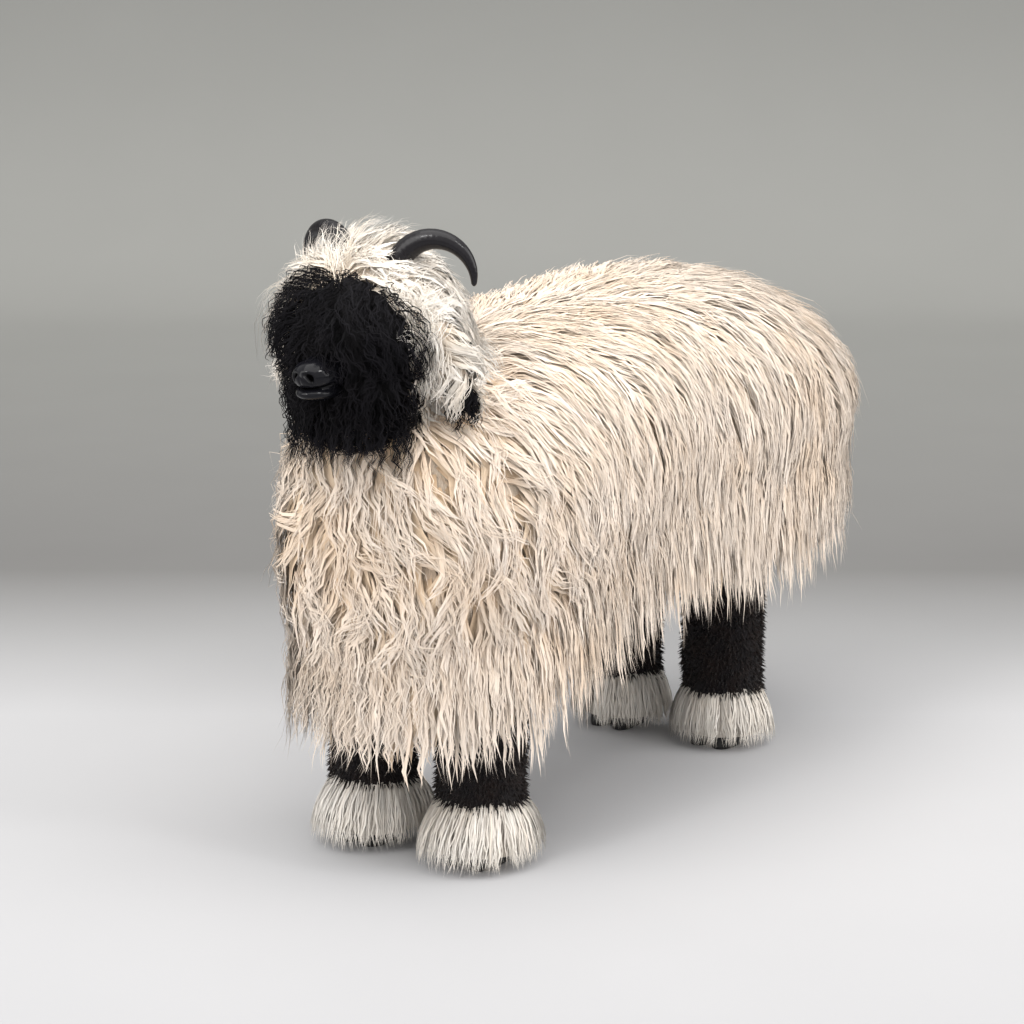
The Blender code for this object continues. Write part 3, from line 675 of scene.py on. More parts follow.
tailForm = leafMesh(
    tailSizes["root"], tailSizes["tip"], tailSizes["halfWidth"], tailSizes["halfThick"],
    (1.0, 0.0, 0.0), tailSizes["skinDepth"],
)
skinMesh = fuse(
    [
        bodyForm(bodySizes),
        ballMesh(*headSizes["neck"], headSizes["skinDepth"]),
        ballMesh(*headSizes["head"], headSizes["skinDepth"]),
        ballMesh(*headSizes["face"], headSizes["faceDepth"]),
        earForm(1, headSizes["earDepth"]),
        earForm(-1, headSizes["earDepth"]),
        tailForm,
    ],
    0.0070, 5,
)
skinPoints = narrowed(pointsOf(skinMesh))
setPoints(skinMesh, skinPoints)
skinMesh.update()
addNumber(skinMesh, "black", isFace(skinPoints) | isEarTip(skinPoints))
skinFaces = [tuple(face.vertices) for face in skinMesh.polygons]
skinTree = BVHTree.FromPolygons([Vector(p) for p in skinPoints], skinFaces)
vertexNormals = np.empty(len(skinMesh.vertices) * 3, dtype=np.float32)
skinMesh.vertex_normals.foreach_get("vector", vertexNormals)
vertexNormals = vertexNormals.reshape(-1, 3)
faceNormals = unit(np.array([vertexNormals[list(face)].mean(axis=0) for face in skinFaces]))
print("skin fused:", len(skinFaces), "faces")


# roots, guides and strands of the wool


def hemAt(y):
    table = np.array(bodySizes["hem"])
    return np.interp(y, table[:, 0], table[:, 1])


rootJitter = 0.0022
triesPerCell = 9


def scatterRoots(wanted, spacing, seed):  # even random spots on the skin
    draw = np.random.default_rng(seed)
    corners = skinPoints[np.array([face[:3] for face in skinFaces])]
    sides = np.cross(corners[:, 1] - corners[:, 0], corners[:, 2] - corners[:, 0])
    middles = np.array([skinPoints[list(face)].mean(axis=0) for face in skinFaces])
    areas = np.linalg.norm(sides, axis=1) * wanted(middles, faceNormals)
    tries = int(triesPerCell * areas.sum() / spacing**2)
    chosen = draw.choice(len(areas), size=tries, p=areas / areas.sum())
    spots = middles[chosen] + draw.normal(0, rootJitter, (tries, 3))
    cells, roots = {}, []
    for index, spot in zip(chosen, spots):
        cell = tuple((spot / spacing).astype(int))
        near = [
            other
            for i in (-1, 0, 1) for j in (-1, 0, 1) for k in (-1, 0, 1)
            for other in cells.get((cell[0] + i, cell[1] + j, cell[2] + k), ())
        ]
        if any(np.sum((other - spot) ** 2) < spacing**2 for other in near):
            continue
        cells.setdefault(cell, []).append(spot)
        roots.append((Vector(spot), Vector(faceNormals[index])))
    return roots


def clearOfLegs(place):  # hair that hangs over a leg lies on its outside
    radius = legSizes["radius"] + legSizes["clearance"]
    for y in (legSizes["frontY"], legSizes["rearY"]):
        middle = math.copysign(legSizes["spacing"] / 2, place.x)
        gap = Vector((place.x - middle, place.y - y, 0.0))
        if gap.length < radius and place.z < legSizes["top"]:
            place = place + gap.normalized() * (radius - gap.length)
    return place


def layGuides(roots, lie, lengthAt, settings, seed):
    # each guide starts on the skin, follows the lie of the coat and hangs free under the belly
    draw = np.random.default_rng(seed)
    samples, step = 20, 0.008
    guides, normals, lengths = [], [], []
    for root, normal in roots:
        length = lengthAt(root) if callable(lengthAt) else lengthAt
        length *= draw.uniform(1 - settings["uneven"], 1 + settings["uneven"])
        lowest = hemAt(root.y) + draw.uniform(*settings["ragged"])
        place, facing, turned = root.copy(), normal.copy(), draw.normal(0, settings["stray"])
        path, sides = [place.copy()], [facing.copy()]
        travelled, free = 0.0, False
        while travelled < length:
            travelled += step
            free = free or facing.z < settings["hangBelow"]
            if free:
                place = clearOfLegs(place + Vector((0.0, 0.0, -step)))
            else:
                way = lie(place, facing)
                way = (way - facing * way.dot(facing)).normalized()
                swing = turned + settings["drift"] * noise.noise(place * settings["driftScale"])
                swing += settings["drift"] * 0.6 * noise.noise(place * settings["driftScale"] * 3.1)
                way = Matrix.Rotation(swing, 3, facing) @ way
                spot, _, index, _ = skinTree.find_nearest(place + way * step)
                facing = (facing + Vector(faceNormals[index])).normalized()
                place = spot
            if settings["stopAtHem"] and place.z < lowest:
                break
            path.append(place.copy())
            sides.append(facing.copy())
        if len(path) < 4:
            continue
        at = np.linspace(0, len(path) - 1, samples)
        steps = np.arange(len(path))
        path, sides = np.array(path), np.array(sides)
        guides.append(np.stack([np.interp(at, steps, path[:, k]) for k in range(3)], axis=1))
        normals.append(np.stack([np.interp(at, steps, sides[:, k]) for k in range(3)], axis=1))
        lengths.append(step * (len(path) - 1))
    guides = np.array(guides)
    depths = settings["depthAt"](guides[:, 0]) if "depthAt" in settings else np.ones(len(guides))
    return guides, unit(np.array(normals)), np.array(lengths), depths


def growStrands(guides, normals, lengths, depths, s, seed):
    # several strands to a lock: they start apart, share a wave and close to a point
    draw = np.random.default_rng(seed)
    locks, samples, _ = guides.shape
    owner = np.repeat(np.arange(locks), s["strands"])
    count = len(owner)
    t = np.linspace(0, 1, s["points"])[None, :]
    reach = 1 - s["uneven"] * draw.random(count) ** 1.6
    at = t * reach[:, None] * (samples - 1)
    i = np.minimum(at.astype(int), samples - 2)
    f = (at - i)[..., None]
    rows = owner[:, None]
    place = guides[rows, i] * (1 - f) + guides[rows, i + 1] * f
    normal = unit(normals[rows, i] * (1 - f) + normals[rows, i + 1] * f)
    along = unit(np.gradient(place, axis=1))
    side = unit(np.cross(along, normal))
    up = np.cross(side, along)
    radius, turn = s["spread"] * np.sqrt(draw.random(count)), draw.random(count) * 2 * np.pi
    bulge = (radius * np.cos(turn) / s["spread"])[:, None, None]  # a lock is lit as one soft round form
    soft = unit(up + side * bulge * s["roundness"])
    closing = (1 - t) ** s["closing"] * (1 - s["tipShare"]) + s["tipShare"]
    place = place + side * ((radius * np.cos(turn))[:, None] * closing)[..., None]
    place = place + along[:, :1] * ((radius * np.sin(turn))[:, None] * (1 - t))[..., None]
    lift = s["depth"] * (s["lowest"] + (1 - s["lowest"]) * draw.random(locks)[owner]) * depths[owner]
    lift = lift + s["fluff"] * draw.normal(0, 1, count)
    rise = 1 - (1 - np.minimum(t / s["crest"], 1.0)) ** s["rise"]
    height = lift[:, None] * rise - s["sink"] * (1 - t) + s["tipLift"] * t**3
    arc = t * (reach * lengths[owner])[:, None]
    swell = s["wave"] * draw.uniform(0.6, 1.4, locks)[owner][:, None] * (0.15 + 0.85 * t ** 0.8)
    pace = 2 * np.pi / (s["waveLength"] * draw.uniform(0.75, 1.35, locks)[owner][:, None])
    phase = (draw.random(locks)[owner] * 2 * np.pi + draw.normal(0, s["unruly"], count))[:, None]
    flyaway = (draw.random(count) < s["flyaways"])[:, None]
    swell = np.where(flyaway, swell * 1.7, swell)
    height = height + np.where(flyaway, s["flyLift"] * t**1.5 * draw.random((count, 1)), 0.0)
    flown = np.where(flyaway, 1.0, 0.0) * s["flyLift"] * t * draw.normal(0, 0.5, (count, 1))
    place = place + side * (swell * np.sin(arc * pace + phase) + flown)[..., None]
    curl = swell * s["curlDepth"] * np.cos(arc * pace * s["curlPace"] + phase)
    place = place + up * (height + curl)[..., None]
    fine = s["frizz"] * draw.normal(0, 1, (count, s["points"], 3)) * t[..., None]
    width = s["width"] * draw.uniform(0.7, 1.3, count)
    tone = np.clip(draw.normal(0.6, 0.22, locks)[owner] + draw.normal(0, 0.16, count), 0, 1)
    return place + fine, up, width, tone, soft


softShare = 0.84  # how far the strands take the lock's own light instead of their tube's
patchSize = 0.003  # of a strand's own patch of the unwrap
faceLimit = 195000
tubeTurns = [2 * math.pi * corner / 3 + 0.4 for corner in range(3)]


def tubeFrame(place, up):  # the directions across each strand
    along = unit(np.gradient(place, axis=1))
    side = unit(np.cross(along, up))
    return side, np.cross(side, along)


def tubePoints(corners, ends):  # three corners a ring, strand by strand, with the end point last
    rings = np.stack(corners, axis=2)[:, :-1].reshape(len(ends), -1, 3)
    return np.concatenate((rings, ends[:, -1:]), axis=1)


def softNormals(place, up, soft):
    side, up = tubeFrame(place, up)
    corners = []
    for turn in tubeTurns:
        own = side * math.cos(turn) + up * math.sin(turn)
        corners.append(unit(own * (1 - softShare) + soft * softShare))
    return tubePoints(corners, soft).reshape(-1, 3)


def tubeFaces(points):
    faces = [(0, 1, 2)]
    for k in range(0, (points - 2) * 3, 3):
        for a in range(3):
            b = (a + 1) % 3
            faces += [(k + a, k + 3 + b, k + b), (k + a, k + 3 + a, k + 3 + b)]
    last = (points - 2) * 3
    faces += [(last + a, last + 3, last + (a + 1) % 3) for a in range(3)]
    return np.array(faces)


def tubeMesh(name, place, up, width, tone, patch, flat):
    # closed three-sided tapered tubes, each with its own small patch of the unwrap at its root
    count, points, _ = place.shape
    side, up = tubeFrame(place, up)
    t = np.linspace(0, 1, points)
    size = (0.72 + 0.28 * np.sin(np.minimum(t * 2.2, 1) * np.pi / 2)) * (1 - t**2.4) ** 0.8
    wide = (width[:, None] * size)[..., None]
    corners = [
        place + side * wide * math.cos(turn) * flat + up * wide * math.sin(turn) / flat
        for turn in tubeTurns
    ]
    verts = tubePoints(corners, place)
    each = verts.shape[1]
    faces = tubeFaces(points)
    allFaces = (faces[None] + (np.arange(count) * each)[:, None, None]).reshape(-1, 3)
    first = verts[0][faces]
    volume = np.einsum("ij,ij->i", first[:, 0], np.cross(first[:, 1], first[:, 2])).sum()
    if volume < 0:
        allFaces = allFaces[:, ::-1]
    mesh = meshFrom(name, verts.reshape(-1, 3), np.ascontiguousarray(allFaces))
    share = np.concatenate((np.repeat(t[:-1], 3), (1.0,)))
    around = np.concatenate((np.tile(np.arange(3) / 3, points - 1), (0.5,)))
    addNumber(mesh, "along", np.tile(share, count))
    addNumber(mesh, "tone", np.repeat(tone, each))
    layPatches(mesh, patch[:, None, :] + patchSize * np.stack((share, around), axis=1)[None])
    return mesh


def wayRound(across, ahead):  # 0 to 1 with a small margin, the way round an axis
    return 0.01 + 0.97 * (np.arctan2(across, ahead) / (2 * np.pi) + 0.5)


def bodyPatch(roots):  # unwrap of a long form lying along Y: run along it, and the way round it
    run = 0.03 + 0.94 * (roots[:, 1] + 0.43) / 0.98
    return np.stack((run, wayRound(roots[:, 0], roots[:, 2] - 0.40)), axis=1)


def ballPatch(centre):  # unwrap of a round form: way round and height
    def spots(roots):
        d = unit(roots - np.array(centre))
        height = np.arcsin(np.clip(d[:, 2], -1, 1)) / np.pi + 0.5
        return np.stack((wayRound(d[:, 0], -d[:, 1]), 0.02 + 0.95 * height), axis=1)
    return spots


def legPatch(spot, scale, low):  # unwrap of an upright form: way round and height
    def spots(roots):
        around = wayRound(roots[:, 1] - spot[1], roots[:, 0] - spot[0])
        return np.stack((around, 0.02 + scale * (roots[:, 2] - low)), axis=1)
    return spots


def addWool(name, strands, material, slot, patchOf, flat=1.25):
    place, up, width, tone, soft = strands
    each = (place.shape[1] - 2) * 6 + 4
    parts = max(1, math.ceil(len(place) * each / faceLimit))
    order = np.argsort(place[:, 0, 1], kind="stable")
    for index, rows in enumerate(np.array_split(order, parts)):
        label = name if parts == 1 else f"{name}_{index + 1}"
        patch = patchOf(place[rows, 0])
        mesh = tubeMesh(label, place[rows], up[rows], width[rows], tone[rows], patch, flat)
        addPiece(label, mesh, material, (), softNormals(place[rows], up[rows], soft[rows]))
    print(name, len(place), "strands,", len(place) * each, "triangles,", parts, "pieces")


def addTufts(name, guides, s, seed, look, flat=1.25):
    addWool(name, growStrands(*guides, s, seed), *look, flat)


def coverPatch(name, where, lie, lengthAt, guide, s, look, flat=1.25):  # wool on roots of its own
    roots = scatterRoots(where, s["spacing"], s["seed"])
    guides = layGuides(roots, lie, lengthAt, guide, s["seed"] + 1)
    addTufts(name, guides, s, s["seed"] + 2, look, flat)
    return guides


creamCoat = (creamWool, "coat_wool", bodyPatch)
# the fill's look: the shaded underwool, painted shade in the gaps between locks
shadedCreamFill = (shadedUnderWool, "coat_wool", bodyPatch)
whiteHead = (whiteWool, "head_wool", ballPatch(headSizes["head"][0]))
creamNeck = (creamWool, "head_wool", ballPatch(headSizes["neck"][0]))
blackFace = (blackWool, "face_wool", ballPatch(headSizes["face"][0]))
blackEars = (blackWool, "face_wool", ballPatch(headSizes["head"][0]))


coatPlaces = {
    "straightAhead": -0.33,  # further forward the coat hangs straight down
    "rumpFrom": 0.34,
    "rumpRun": 0.12,
    "rumpThin": 0.45,
    "bellyBelow": -0.6,  # where the skin faces further down than this
    "bellyShare": 0.12,
    "legShare": 0.75,  # of a leg's radius
    "tangleFall": 0.26,  # the tangled wool's edge falls this much towards the rear
    "tangleAhead": -0.30,
    "tangleTop": 0.62,
    "tangleEdge": 0.07,
    "ridgeAbove": 0.72,
    "hemBand": 0.170,
    "hemAbove": -0.75,
}


def parted(place, normal, parting, outward):  # back along the top, and out from the middle line
    side = min(max(place.x / parting, -1.0), 1.0)
    return Vector((outward * side, 0.12 + 0.95 * max(normal.z, 0.0), -1.0))


def coatLie(place, normal):  # back and outwards along the ridge, straight down the flanks and chest
    way = parted(place, normal, parting=0.05, outward=0.45)
    if place.y < coatPlaces["straightAhead"]:
        way.y = 0.0
    return way


def headLie(place, normal):
    return parted(place, normal, parting=0.04, outward=0.4)


def down(place, normal):
    return Vector((0.0, 0.0, -1.0))


def coatDepth(roots):  # the coat is thinner over the rump and beside the tail
    behind = np.clip((roots[:, 1] - coatPlaces["rumpFrom"]) / coatPlaces["rumpRun"], 0, 1)
    return 1.0 - coatPlaces["rumpThin"] * behind


guideSettings = {
    "uneven": 0.14,
    "ragged": (-0.014, 0.016),
    "stray": 0.14,
    "drift": 0.45,
    "driftScale": 7.0,
    "hangBelow": -0.30,
    "stopAtHem": True,
    "depthAt": coatDepth,
}

coatSettings = {
    "spacing": 0.0165,
    "seed": 101,
    "strands": 7,
    "points": 6,
    "spread": 0.0115,
    "closing": 0.9,
    "tipShare": 0.40,
    "uneven": 0.34,
    "depth": 0.0235,
    "lowest": 0.84,
    "fluff": 0.0014,
    "crest": 0.60,
    "rise": 1.9,
    "sink": 0.002,
    "tipLift": 0.002,
    "wave": 0.0060,
    "waveLength": 0.078,
    "curlDepth": 0.55,
    "curlPace": 0.9,
    "unruly": 0.50,
    "frizz": 0.0006,
    "flyaways": 0.16,
    "flyLift": 0.007,
    "width": 0.00060,
    "roundness": 0.5,
}


def underTufts(settings, strands, width, **others):  # broad soft tufts below the strands
    return dict(
        settings, strands=strands, width=width, depth=settings["depth"] * 0.92, lowest=0.66,
        fluff=0.0009, flyaways=0.0, frizz=0.0, uneven=0.22, unruly=settings["unruly"] * 0.6,
        roundness=0.25, wave=settings["wave"] * 0.8,
    ) | others


def fillTufts(settings):  # short broad underwool that closes the coat over the skin
    return dict(
        settings, strands=2, points=4, width=0.0026, depth=settings["depth"] * 0.45, lowest=0.9,
        fluff=0.0007, flyaways=0.0, frizz=0.0, uneven=0.15, roundness=0.1, wave=0.001,
        tipShare=1.0, spread=0.0130, tipLift=0.0,
    )


tangleSettings = dict(
    coatSettings, points=7, strands=7, wave=0.0042, waveLength=0.036, unruly=1.1, curlDepth=0.9,
    tipShare=0.60, fluff=0.0030, width=0.00052, flyaways=0.12, flyLift=0.006, frizz=0.0009,
)


def offLegs(points):  # 0 over the top of each leg, where no long coat grows, and 1 elsewhere
    share = np.ones(len(points))
    for y in (legSizes["frontY"], legSizes["rearY"]):
        for side in (-1, 1):
            gap = np.hypot(points[:, 0] - side * legSizes["spacing"] / 2, points[:, 1] - y)
            over = (gap < legSizes["radius"] * coatPlaces["legShare"]) & (points[:, 2] < legSizes["top"])
            share = np.where(over, 0.0, share)
    return share


def tangled(points):  # 1 on the chest and low on the shoulder, 0 on the back and the rump
    edge = 0.50 - coatPlaces["tangleFall"] * (points[:, 1] + 0.28)
    edge = np.where(points[:, 1] < coatPlaces["tangleAhead"], coatPlaces["tangleTop"], edge)
    return 1 - np.clip((points[:, 2] - edge) / coatPlaces["tangleEdge"] + 0.5, 0, 1)


def onBody(points, normals):
    plain = ~(isFace(points) | isEar(points) | isHead(points) | isNeck(points) | isTail(points))
    share = np.where(normals[:, 2] < coatPlaces["bellyBelow"], coatPlaces["bellyShare"], 1.0)
    return plain * share * offLegs(points)


coatRoots = scatterRoots(onBody, coatSettings["spacing"], coatSettings["seed"])
rootPlaces = np.array([root for root, normal in coatRoots])
pick = np.random.default_rng(105).random(len(coatRoots)) < tangled(rootPlaces)
straightRoots = [root for root, knotted in zip(coatRoots, pick) if not knotted]
tangledRoots = [root for root, knotted in zip(coatRoots, pick) if knotted]
coatGuides = layGuides(straightRoots, coatLie, 0.125, guideSettings, 102)
addTufts("coat", coatGuides, coatSettings, 103, creamCoat)
coatUnder = underTufts(coatSettings, 6, 0.0013, points=5, tipShare=0.85, spread=0.0130)
addTufts("coatUnder", coatGuides, coatUnder, 108, creamCoat, 2.2)
# the fill wears the shaded underwool: painted shade in the gaps between locks
addTufts("coatFill", coatGuides, fillTufts(coatSettings), 111, shadedCreamFill, 2.7)

# a second set of soft tufts along the ridge, where the hair parts to both sides
ridgeSettings = dict(
    coatUnder, spacing=0.0125, strands=3, width=0.0015, spread=0.0120,
    depth=coatSettings["depth"] * 0.75, seed=124,
)


def onRidge(points, normals):
    upward = normals[:, 2] > coatPlaces["ridgeAbove"]
    return onBody(points, normals) * upward * (tangled(points) < 0.5)


coverPatch("ridgeUnder", onRidge, coatLie, 0.085, guideSettings, ridgeSettings, creamCoat, 2.2)

tangleGuideSettings = dict(guideSettings, stray=0.42, drift=0.9, driftScale=11.0)
tangleGuides = layGuides(tangledRoots, coatLie, 0.088, tangleGuideSettings, 106)
addTufts("chestCoat", tangleGuides, tangleSettings, 107, creamCoat)
addTufts("chestUnder", tangleGuides, underTufts(tangleSettings, 4, 0.0013, points=6), 109, creamCoat, 2.0)
addTufts("chestFill", tangleGuides, fillTufts(tangleSettings), 112, shadedCreamFill, 2.7)


# the lowest rows hang straight down all round and end in a ragged edge
hemSettings = dict(
    coatSettings, spacing=0.0135, strands=5, points=7, spread=0.010, tipShare=0.14, closing=1.2,
    wave=0.0062, waveLength=0.040, tipLift=0.007, width=0.00055, depth=0.024, uneven=0.42, unruly=1.0,
    frizz=0.0011, seed=171,
)


def onHem(points, normals):
    above = points[:, 2] - hemAt(points[:, 1])
    band = (above < coatPlaces["hemBand"]) & (normals[:, 2] > coatPlaces["hemAbove"])
    return band * onBody(points, normals * (1, 1, 0))


hemGuideSettings = dict(guideSettings, ragged=(-0.024, 0.026), stray=0.30)
hemGuides = coverPatch("hemCoat", onHem, down, 0.20, hemGuideSettings, hemSettings, creamCoat)
addTufts("hemUnder", hemGuides, underTufts(hemSettings, 2, 0.0016, closing=0.9), 174, creamCoat, 2.0)


# head and neck wool

headSettings = dict(
    coatSettings, spacing=0.0100, strands=8, points=6, spread=0.010, depth=0.021, lowest=0.60,
    fluff=0.0022, wave=0.0032, waveLength=0.034, width=0.00042, flyaways=0.30, flyLift=0.009,
    uneven=0.45, frizz=0.0009, unruly=1.2, tipShare=0.60, crest=0.8, seed=111,
)


def crownShare(points):  # tousled to its right, low round the base of the left horn
    toLeft = np.clip((points[..., 0] + 0.025) / 0.045, 0, 1)
    high = np.clip((points[..., 2] - 0.655) / 0.025, 0, 1)
    return 1 + high * (0.35 - 0.90 * toLeft * toLeft * (3 - 2 * toLeft))


def headDepth(roots):  # fuller over the crown
    fuller = 1.0 + 0.30 * np.clip((roots[:, 2] - 0.67) / 0.04, 0, 1)
    return fuller * crownShare(roots)


headGuideSettings = dict(
    guideSettings, stray=0.45, drift=1.0, driftScale=16.0, stopAtHem=False, hangBelow=-0.6,
    depthAt=headDepth,
)


def onHead(points, normals):
    return (isHead(points) | isEar(points)) & ~isEarTip(points)


def onNeck(points, normals):
    return isNeck(points) & ~isEar(points) & ~isFace(points)


headGuides = coverPatch("headWool", onHead, headLie, 0.046, headGuideSettings, headSettings, whiteHead)
addTufts("headUnder", headGuides, underTufts(headSettings, 2, 0.0017), 110, whiteHead, 1.9)

# longer wool that falls from the side of the crown over the ear
earCoverSettings = dict(headSettings, spacing=0.011, points=8, depth=0.030, tipShare=0.35, seed=114)
earCoverGuideSettings = dict(headGuideSettings, stray=0.2, drift=0.5, hangBelow=-0.35)


def earCoverLie(place, normal):
    return Vector((0.0, 0.10, -1.0))


def aboveEar(points, normals):
    high = (points[:, 2] > 0.630) & (points[:, 2] < 0.715)
    return onHead(points, normals) & (abs(points[:, 0]) > 0.055) & high


coverPatch(
    "earCover", aboveEar, earCoverLie, 0.078, earCoverGuideSettings, earCoverSettings, whiteHead,
)

# frizz that stands out round the top and the sides of the black patch
browSettings = dict(
    headSettings, spacing=0.0080, strands=7, points=8, depth=0.031, lowest=0.5, crest=1.0, rise=1.2,
    wave=0.0038, waveLength=0.026, width=0.00042, flyaways=0.4, seed=117,
)
browGuideSettings = dict(headGuideSettings, stray=0.6, depthAt=crownShare)


def browLie(place, normal):
    away = place - Vector(headSizes["face"][0])
    return Vector((away.x, -0.02, away.z)).normalized() + Vector((0.0, 0.35, 0.0))


def browLength(root):  # shorter on the figure's right and round the left horn
    return 0.036 * float(crownShare(np.array(root))) * (0.7 if root.x < -0.05 else 1.0)


def onBrow(points, normals):
    gap = facePlane(points)
    edge = (gap > np.where(points[:, 0] > 0, -0.001, -0.014)) & (gap < 0.022)
    return edge & (points[:, 2] > 0.600) & ~isEar(points) & (points[:, 1] < -0.33)


coverPatch("browFrizz", onBrow, browLie, browLength, browGuideSettings, browSettings, whiteHead)

neckSettings = dict(coatSettings, spacing=0.0155, depth=0.024, seed=121)
freeGuideSettings = dict(guideSettings, stopAtHem=False)
coverPatch("neckWool", onNeck, headLie, 0.095, freeGuideSettings, neckSettings, creamNeck)


# black curly face, beard and ears

faceSettings = dict(
    coatSettings, spacing=0.0072, strands=3, points=14, spread=0.005, depth=0.029, lowest=0.66,
    fluff=0.0028, crest=0.45, rise=1.6, wave=0.0026, waveLength=0.0125, curlDepth=1.0, curlPace=1.0,
    width=0.00062, flyaways=0.12, flyLift=0.005, uneven=0.30, frizz=0.0001, unruly=0.6, roundness=0.5,
    tipShare=0.6, tipLift=0.001, seed=131,
)
faceGuideSettings = dict(
    guideSettings, stray=0.30, drift=0.8, driftScale=26.0, stopAtHem=False, hangBelow=-2.0,
    depthAt=lambda roots: 1 - 0.55 * besideMuzzle(roots),
)


def faceLie(place, normal):  # from the forehead down and out to both sides
    return Vector((place.x / 0.10, -0.25, -0.9))


def onFace(points, normals):
    return isFace(points) & (shellShare(points, headSizes["muzzle"], -0.001) > 1.0)


coverPatch("faceCurls", onFace, faceLie, 0.034, faceGuideSettings, faceSettings, blackFace, 1.0)

beardSettings = dict(
    faceSettings, spacing=0.0090, strands=6, points=15, spread=0.005, depth=0.016, wave=0.0030,
    waveLength=0.017, uneven=0.35, tipShare=0.30, unruly=0.35, seed=141,
)
beardGuideSettings = dict(faceGuideSettings, stray=0.2, drift=0.3, hangBelow=0.1)


def onBeard(points, normals):
    return isFace(points) & (points[:, 2] < 0.575) & (normals[:, 2] > -0.75)


def beardLength(root):
    return 0.036 + max(root.z - 0.530, 0.0)


coverPatch("beard", onBeard, down, beardLength, beardGuideSettings, beardSettings, blackFace, 1.0)

earSettings = dict(
    beardSettings, spacing=0.0062, strands=6, points=11, depth=0.010, wave=0.0028,
    waveLength=0.014, seed=151,
)
earGuideSettings = dict(beardGuideSettings, hangBelow=-0.5)


def earLie(place, normal):
    return Vector((math.copysign(0.12, place.x), 0.0, -1.0))


def onEarTip(points, normals):
    return isEarTip(points)


coverPatch("earCurls", onEarTip, earLie, 0.030, earGuideSettings, earSettings, blackEars, 1.0)


# tail

tailSettings = dict(coatSettings, spacing=0.014, strands=8, depth=0.013, spread=0.009, seed=161)


def onTail(points, normals):
    return isTail(points)


def tailLength(root):
    return min(0.10, root.z - tailSizes["tip"][2] + 0.012)


coverPatch("tailWool", onTail, down, tailLength, freeGuideSettings, tailSettings, creamCoat)

fleshNodes = ("torso", "neck", "head", "tail", "face", "ear_left", "ear_right")
addPiece("hide", skinMesh, hide, fleshNodes)
print("wool grown")


# legs with short pile

legSettings = {
    "skinInset": 0.004,
    "low": 0.060,
    "pileTop": {"front": 0.205, "rear": 0.290},
    "density": 60000.0,
    "hairLength": 0.0085,
    "hairWidth": 0.0013,
    "seed": 7,
}


def legSpots():  # each leg's end, name and middle
    for end, y in (("front", legSizes["frontY"]), ("rear", legSizes["rearY"])):
        for side, word in ((1, "left"), (-1, "right")):
            yield end, f"{end}_{word}", (side * legSizes["spacing"] / 2, y)


def legForm(end, spot, s, top):
    rings = []
    radius = legSizes["radius"] - s["skinInset"]
    angle = np.linspace(0, 2 * np.pi, 48, endpoint=False)
    slant = 0.010 * np.cos(angle) if end == "front" else -0.016 * np.sin(angle)
    for share in np.linspace(0, 1, 26):
        z = s["low"] + (top - s["low"]) * share + (1 - share) * slant
        wobble = 1 + 0.012 * np.sin(3 * angle + 9 * share) + 0.008 * np.sin(17 * share + angle)
        x = spot[0] + radius * wobble * np.cos(angle)
        y = spot[1] + radius * wobble * np.sin(angle)
        rings.append(np.stack((x, y, z), axis=1))
    return ringMesh(rings, (*spot, s["low"]), (*spot, top))


pileInputs = {
    "Surface": "Geometry",
    "Density": "Float",
    "Hair length": "Float",
    "Hair width": "Float",
    "Seed": "Int",
    "Finish": "Material",
}
pileLean = ((-0.45, -0.45, -1.25), (0.45, 0.45, -0.35))  # least and most, added to the skin's normal
pileScale = (0.6, 1.35)


def pileTree():  # short hairs over a surface
    tree = bpy.data.node_groups.new("shortPile", "GeometryNodeTree")
    names = {}
    for name, kind in pileInputs.items():
        socket = tree.interface.new_socket(name, in_out="INPUT", socket_type="NodeSocket" + kind)
        names[name] = socket.identifier
    tree.interface.new_socket("Hairs", in_out="OUTPUT", socket_type="NodeSocketGeometry")
    given = tree.nodes.new("NodeGroupInput").outputs
    spread = addNode(tree, "GeometryNodeDistributePointsOnFaces", {}, {
        "Mesh": given["Surface"], "Density": given["Density"], "Seed": given["Seed"],
    })
    hair = addNode(tree, "GeometryNodeMeshCone", {}, {
        "Vertices": 3, "Radius Top": 0.0, "Radius Bottom": given["Hair width"], "Depth": given["Hair length"],
    })
    stray = addNode(tree, "FunctionNodeRandomValue", {"data_type": "FLOAT_VECTOR"}, {
        0: pileLean[0], 1: pileLean[1], "Seed": given["Seed"],
    })
    lean = addNode(tree, "ShaderNodeVectorMath", {"operation": "ADD"}, {
        0: spread.outputs["Normal"], 1: stray.outputs[0],
    })
    turn = addNode(tree, "FunctionNodeAlignRotationToVector", {"axis": "Z"}, {"Vector": lean.outputs[0]})
    small, large = pileScale
    size = addNode(tree, "FunctionNodeRandomValue", {"data_type": "FLOAT"}, {2: small, 3: large})
    put = addNode(tree, "GeometryNodeInstanceOnPoints", {}, {
        "Points": spread.outputs["Points"], "Instance": hair.outputs["Mesh"],
        "Rotation": turn.outputs[0], "Scale": size.outputs[1],
    })
    real = addNode(tree, "GeometryNodeRealizeInstances", {}, {0: put.outputs[0]})
    paint = addNode(tree, "GeometryNodeSetMaterial", {}, {
        "Geometry": real.outputs[0], "Material": given["Finish"],
    })
    addNode(tree, "NodeGroupOutput", {}, {0: paint.outputs[0]})
    return tree, names


